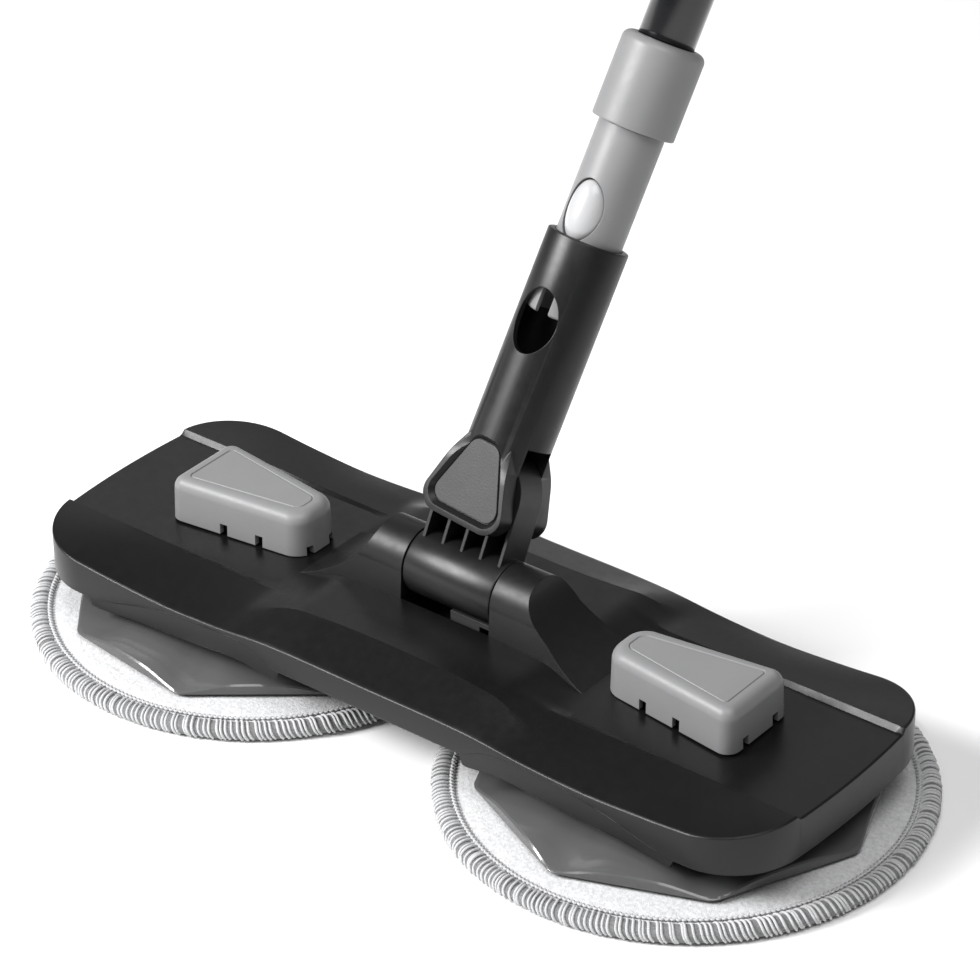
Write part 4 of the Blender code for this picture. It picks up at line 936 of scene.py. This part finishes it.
def collar_and_tubes():
    low, high = span("pole_collar", POLE)
    bottom, top, radius = low[2], high[2], high[0]
    profile = [(TUBE_R + 0.15, top - 0.6), (TUBE_R + 0.6, top)]
    profile += arc_profile(radius - 3.4, top - 3.4, 3.4, 90, 0, 10)
    profile += [(radius, bottom + 1.0)] + arc_profile(radius - 0.6, bottom + 0.6, 0.6, 0, -90, 5)
    profile += [(TUBE_R + 0.15, bottom)]
    put(lathe(profile, 128, closed=True), "collar", POLE, "pole", "collar", ["pole_collar"],
        sharp=50)

    for which, radius, body in (("lower", TUBE_R, "pole"), ("upper", UPPER_R, "upper_pole")):
        low, high = span(f"{which}_tube", POLE)
        profile = [(radius - TUBE_WALL, low[2]), (radius - 0.3, low[2]), (radius, low[2] + 0.3),
                   (radius, high[2] - 0.3), (radius - 0.3, high[2]), (radius - TUBE_WALL, high[2])]
        put(lathe(profile, 128, closed=True), f"tube_{which}", POLE, body, "pole",
            [f"{which}_tube"], sharp=50)

    low, high = span("lock_collar", POLE)
    bottom, top = low[2], high[2]
    crown_r, ridge_r, groove_r = 11.2, 14.9, 14.3
    ridges, ridge_pitch = 9, 2.6
    profile = [(UPPER_R + 0.5, top), (crown_r, top)]
    profile += arc_profile(crown_r, top - 1.6, 1.6, 90, 0, 6) + [(13.4, top - 6)]
    for ridge in range(ridges):
        at = top - 9 - ridge * ridge_pitch
        profile += [(ridge_r, at), (ridge_r, at - 1.5), (groove_r, at - 1.8),
                    (groove_r, at - 2.3)]
    profile += [(ridge_r, bottom + 9), (ridge_r, bottom + 8), (13.2, bottom + 6), (13.0, bottom + 0.8),
                (12.4, bottom), (TUBE_R + 0.3, bottom), (TUBE_R + 0.3, bottom + 17.8),
                (UPPER_R + 0.5, bottom + 18.4)]
    put(lathe(profile, 96, closed=True), "lock_sleeve", POLE, "pole", "collar", ["lock_collar"],
        sharp=35)


def grip_and_cap():
    low, high = span("grip", POLE)
    bottom, top, radius = low[2], high[2], high[0]
    profile = [(0, top), (radius - 0.5, top), (radius, top - 0.5)]
    count = 24
    for ridge in range(count):
        at = top - 8 - (top - bottom - 16) * ridge / count
        swell = radius - 1.0 + 0.9 * math.sin(math.pi * (2.5 * ridge / count + 0.3)) ** 2
        profile += [(swell, at), (swell, at - 2.6), (swell - 0.55, at - 3.0),
                    (swell - 0.55, at - 3.9), (swell, at - 4.3)]
    profile += [(radius - 0.6, bottom + 5), (radius - 0.4, bottom + 1.2), (radius - 1.4, bottom),
                (0, bottom)]
    put(lathe(profile, 96), "grip_sleeve", POLE, "upper_pole", "grip", ["grip"], sharp=40)
    low, high = span("grip_cap", POLE)
    foot, crown = low[2], high[2]
    dome = [(0, foot), (radius - 0.3, foot), (radius, foot + 0.3), (radius, foot + 2.6)]
    dome += arc_profile(0, crown - radius, radius, 0, 90, 20)
    put(lathe(dome, 96), "cap_dome", POLE, "upper_pole", "collar", ["grip_cap"])


# ---- CAD pieces that stay -----------------------------------------------------------------------
def carried_over():
    looks = {"bottom_cover": "under", "battery_pack": "wrap", "control_board": "board",
             "charge_socket": "rubber", "hinge_pin": "steel", "roll_pin": "steel",
             "brake_shoe": "shoe", "brake_spring": "spring", "button_spring": "steel",
             "power_button": "cover"}
    for side in SIDES:
        looks |= {f"gearbox_{side}": "under", f"spindle_{side}": "steel",
                  f"spindle_bush_{side}": "steel", f"motor_{side}": "steel",
                  f"hook_ring_{side}": "hooks", f"guard_ring_{side}": "under"}
    for number in range(1, 7):
        looks[f"cover_screw_{number}"] = "steel"
    for node, look in looks.items():
        paint(frame["nodes"][node], look)


# ---- Stage --------------------------------------------------------------------------------------
def stage():
    size = 6.0
    mesh = bpy.data.meshes.new("floor")
    mesh.from_pydata([(-size, -size, 0), (size, -size, 0), (size, size, 0), (-size, size, 0)], [],
                     [(0, 1, 2, 3)])
    floor = bpy.data.objects.new("floor", mesh)
    bpy.context.scene.collection.objects.link(floor)
    material, nodes, _ = new_material("floor_pale")
    nodes["Principled BSDF"].inputs["Base Color"].default_value = (0.92, 0.92, 0.92, 1)
    nodes["Principled BSDF"].inputs["Roughness"].default_value = 0.9
    nodes["Principled BSDF"].inputs["Specular IOR Level"].default_value = 0.1
    mesh.materials.append(material)
    world = bpy.data.worlds.new("studio")
    world.use_nodes = True
    world.node_tree.nodes["Background"].inputs["Color"].default_value = (1, 1, 1, 1)
    world.node_tree.nodes["Background"].inputs["Strength"].default_value = 0.17
    bpy.context.scene.world = world
    bpy.context.scene.view_settings.view_transform = "Standard"


def softbox(name, place, target, size, power):
    lamp = bpy.data.lights.new(name, "AREA")
    lamp.shape = "RECTANGLE"
    lamp.size, lamp.size_y = size
    lamp.energy = power
    obj = bpy.data.objects.new(name, lamp)
    bpy.context.scene.collection.objects.link(obj)
    obj.location = place
    away = Vector(place) - Vector(target)
    obj.rotation_euler = away.to_track_quat("Z", "Y").to_euler()


def camera():
    """The photograph's viewing angle."""
    azimuth, elevation, roll = math.radians(39.13), math.radians(31.67), math.radians(-1.12)
    distance = 1.701
    target = Vector((-0.0875, 0.1224 + HINGE.y, 0))
    back = Vector((math.sin(azimuth) * math.cos(elevation),
                   -math.cos(azimuth) * math.cos(elevation), math.sin(elevation)))
    right = Vector((0, 0, 1)).cross(back).normalized()
    up = back.cross(right)
    turned_right = right * math.cos(roll) + up * math.sin(roll)
    turned_up = up * math.cos(roll) - right * math.sin(roll)
    data = bpy.data.cameras.new("camera")
    data.sensor_width = SENSOR_MM
    data.lens = SENSOR_MM * FOCAL_PX / FRAME_PX
    obj = bpy.data.objects.new("camera", data)
    bpy.context.scene.collection.objects.link(obj)
    turn = Matrix((turned_right, turned_up, back)).transposed().to_4x4()
    obj.matrix_world = Matrix.Translation(target + back * distance) @ turn
    bpy.context.scene.camera = obj


def main():
    camera()
    stage()
    focus = (0, HINGE.y, 0.05)
    softbox("key", (-0.95, HINGE.y - 1.15, 1.15), focus, (0.9, 0.7), 58)
    softbox("rear", (-1.07, HINGE.y + 1.32, 1.0), focus, (1.5, 0.5), 2.0)
    softbox("top", (0.6, HINGE.y - 0.45, 1.8), focus, (1.4, 1.2), 24)
    top_shell()
    for side in SIDES:
        tower(side)
        motor_cover(side)
        drive_plate(side)
        mop_pad(side)
    knuckle()
    neck()
    adapter()
    button()
    collar_and_tubes()
    grip_and_cap()
    carried_over()


main()
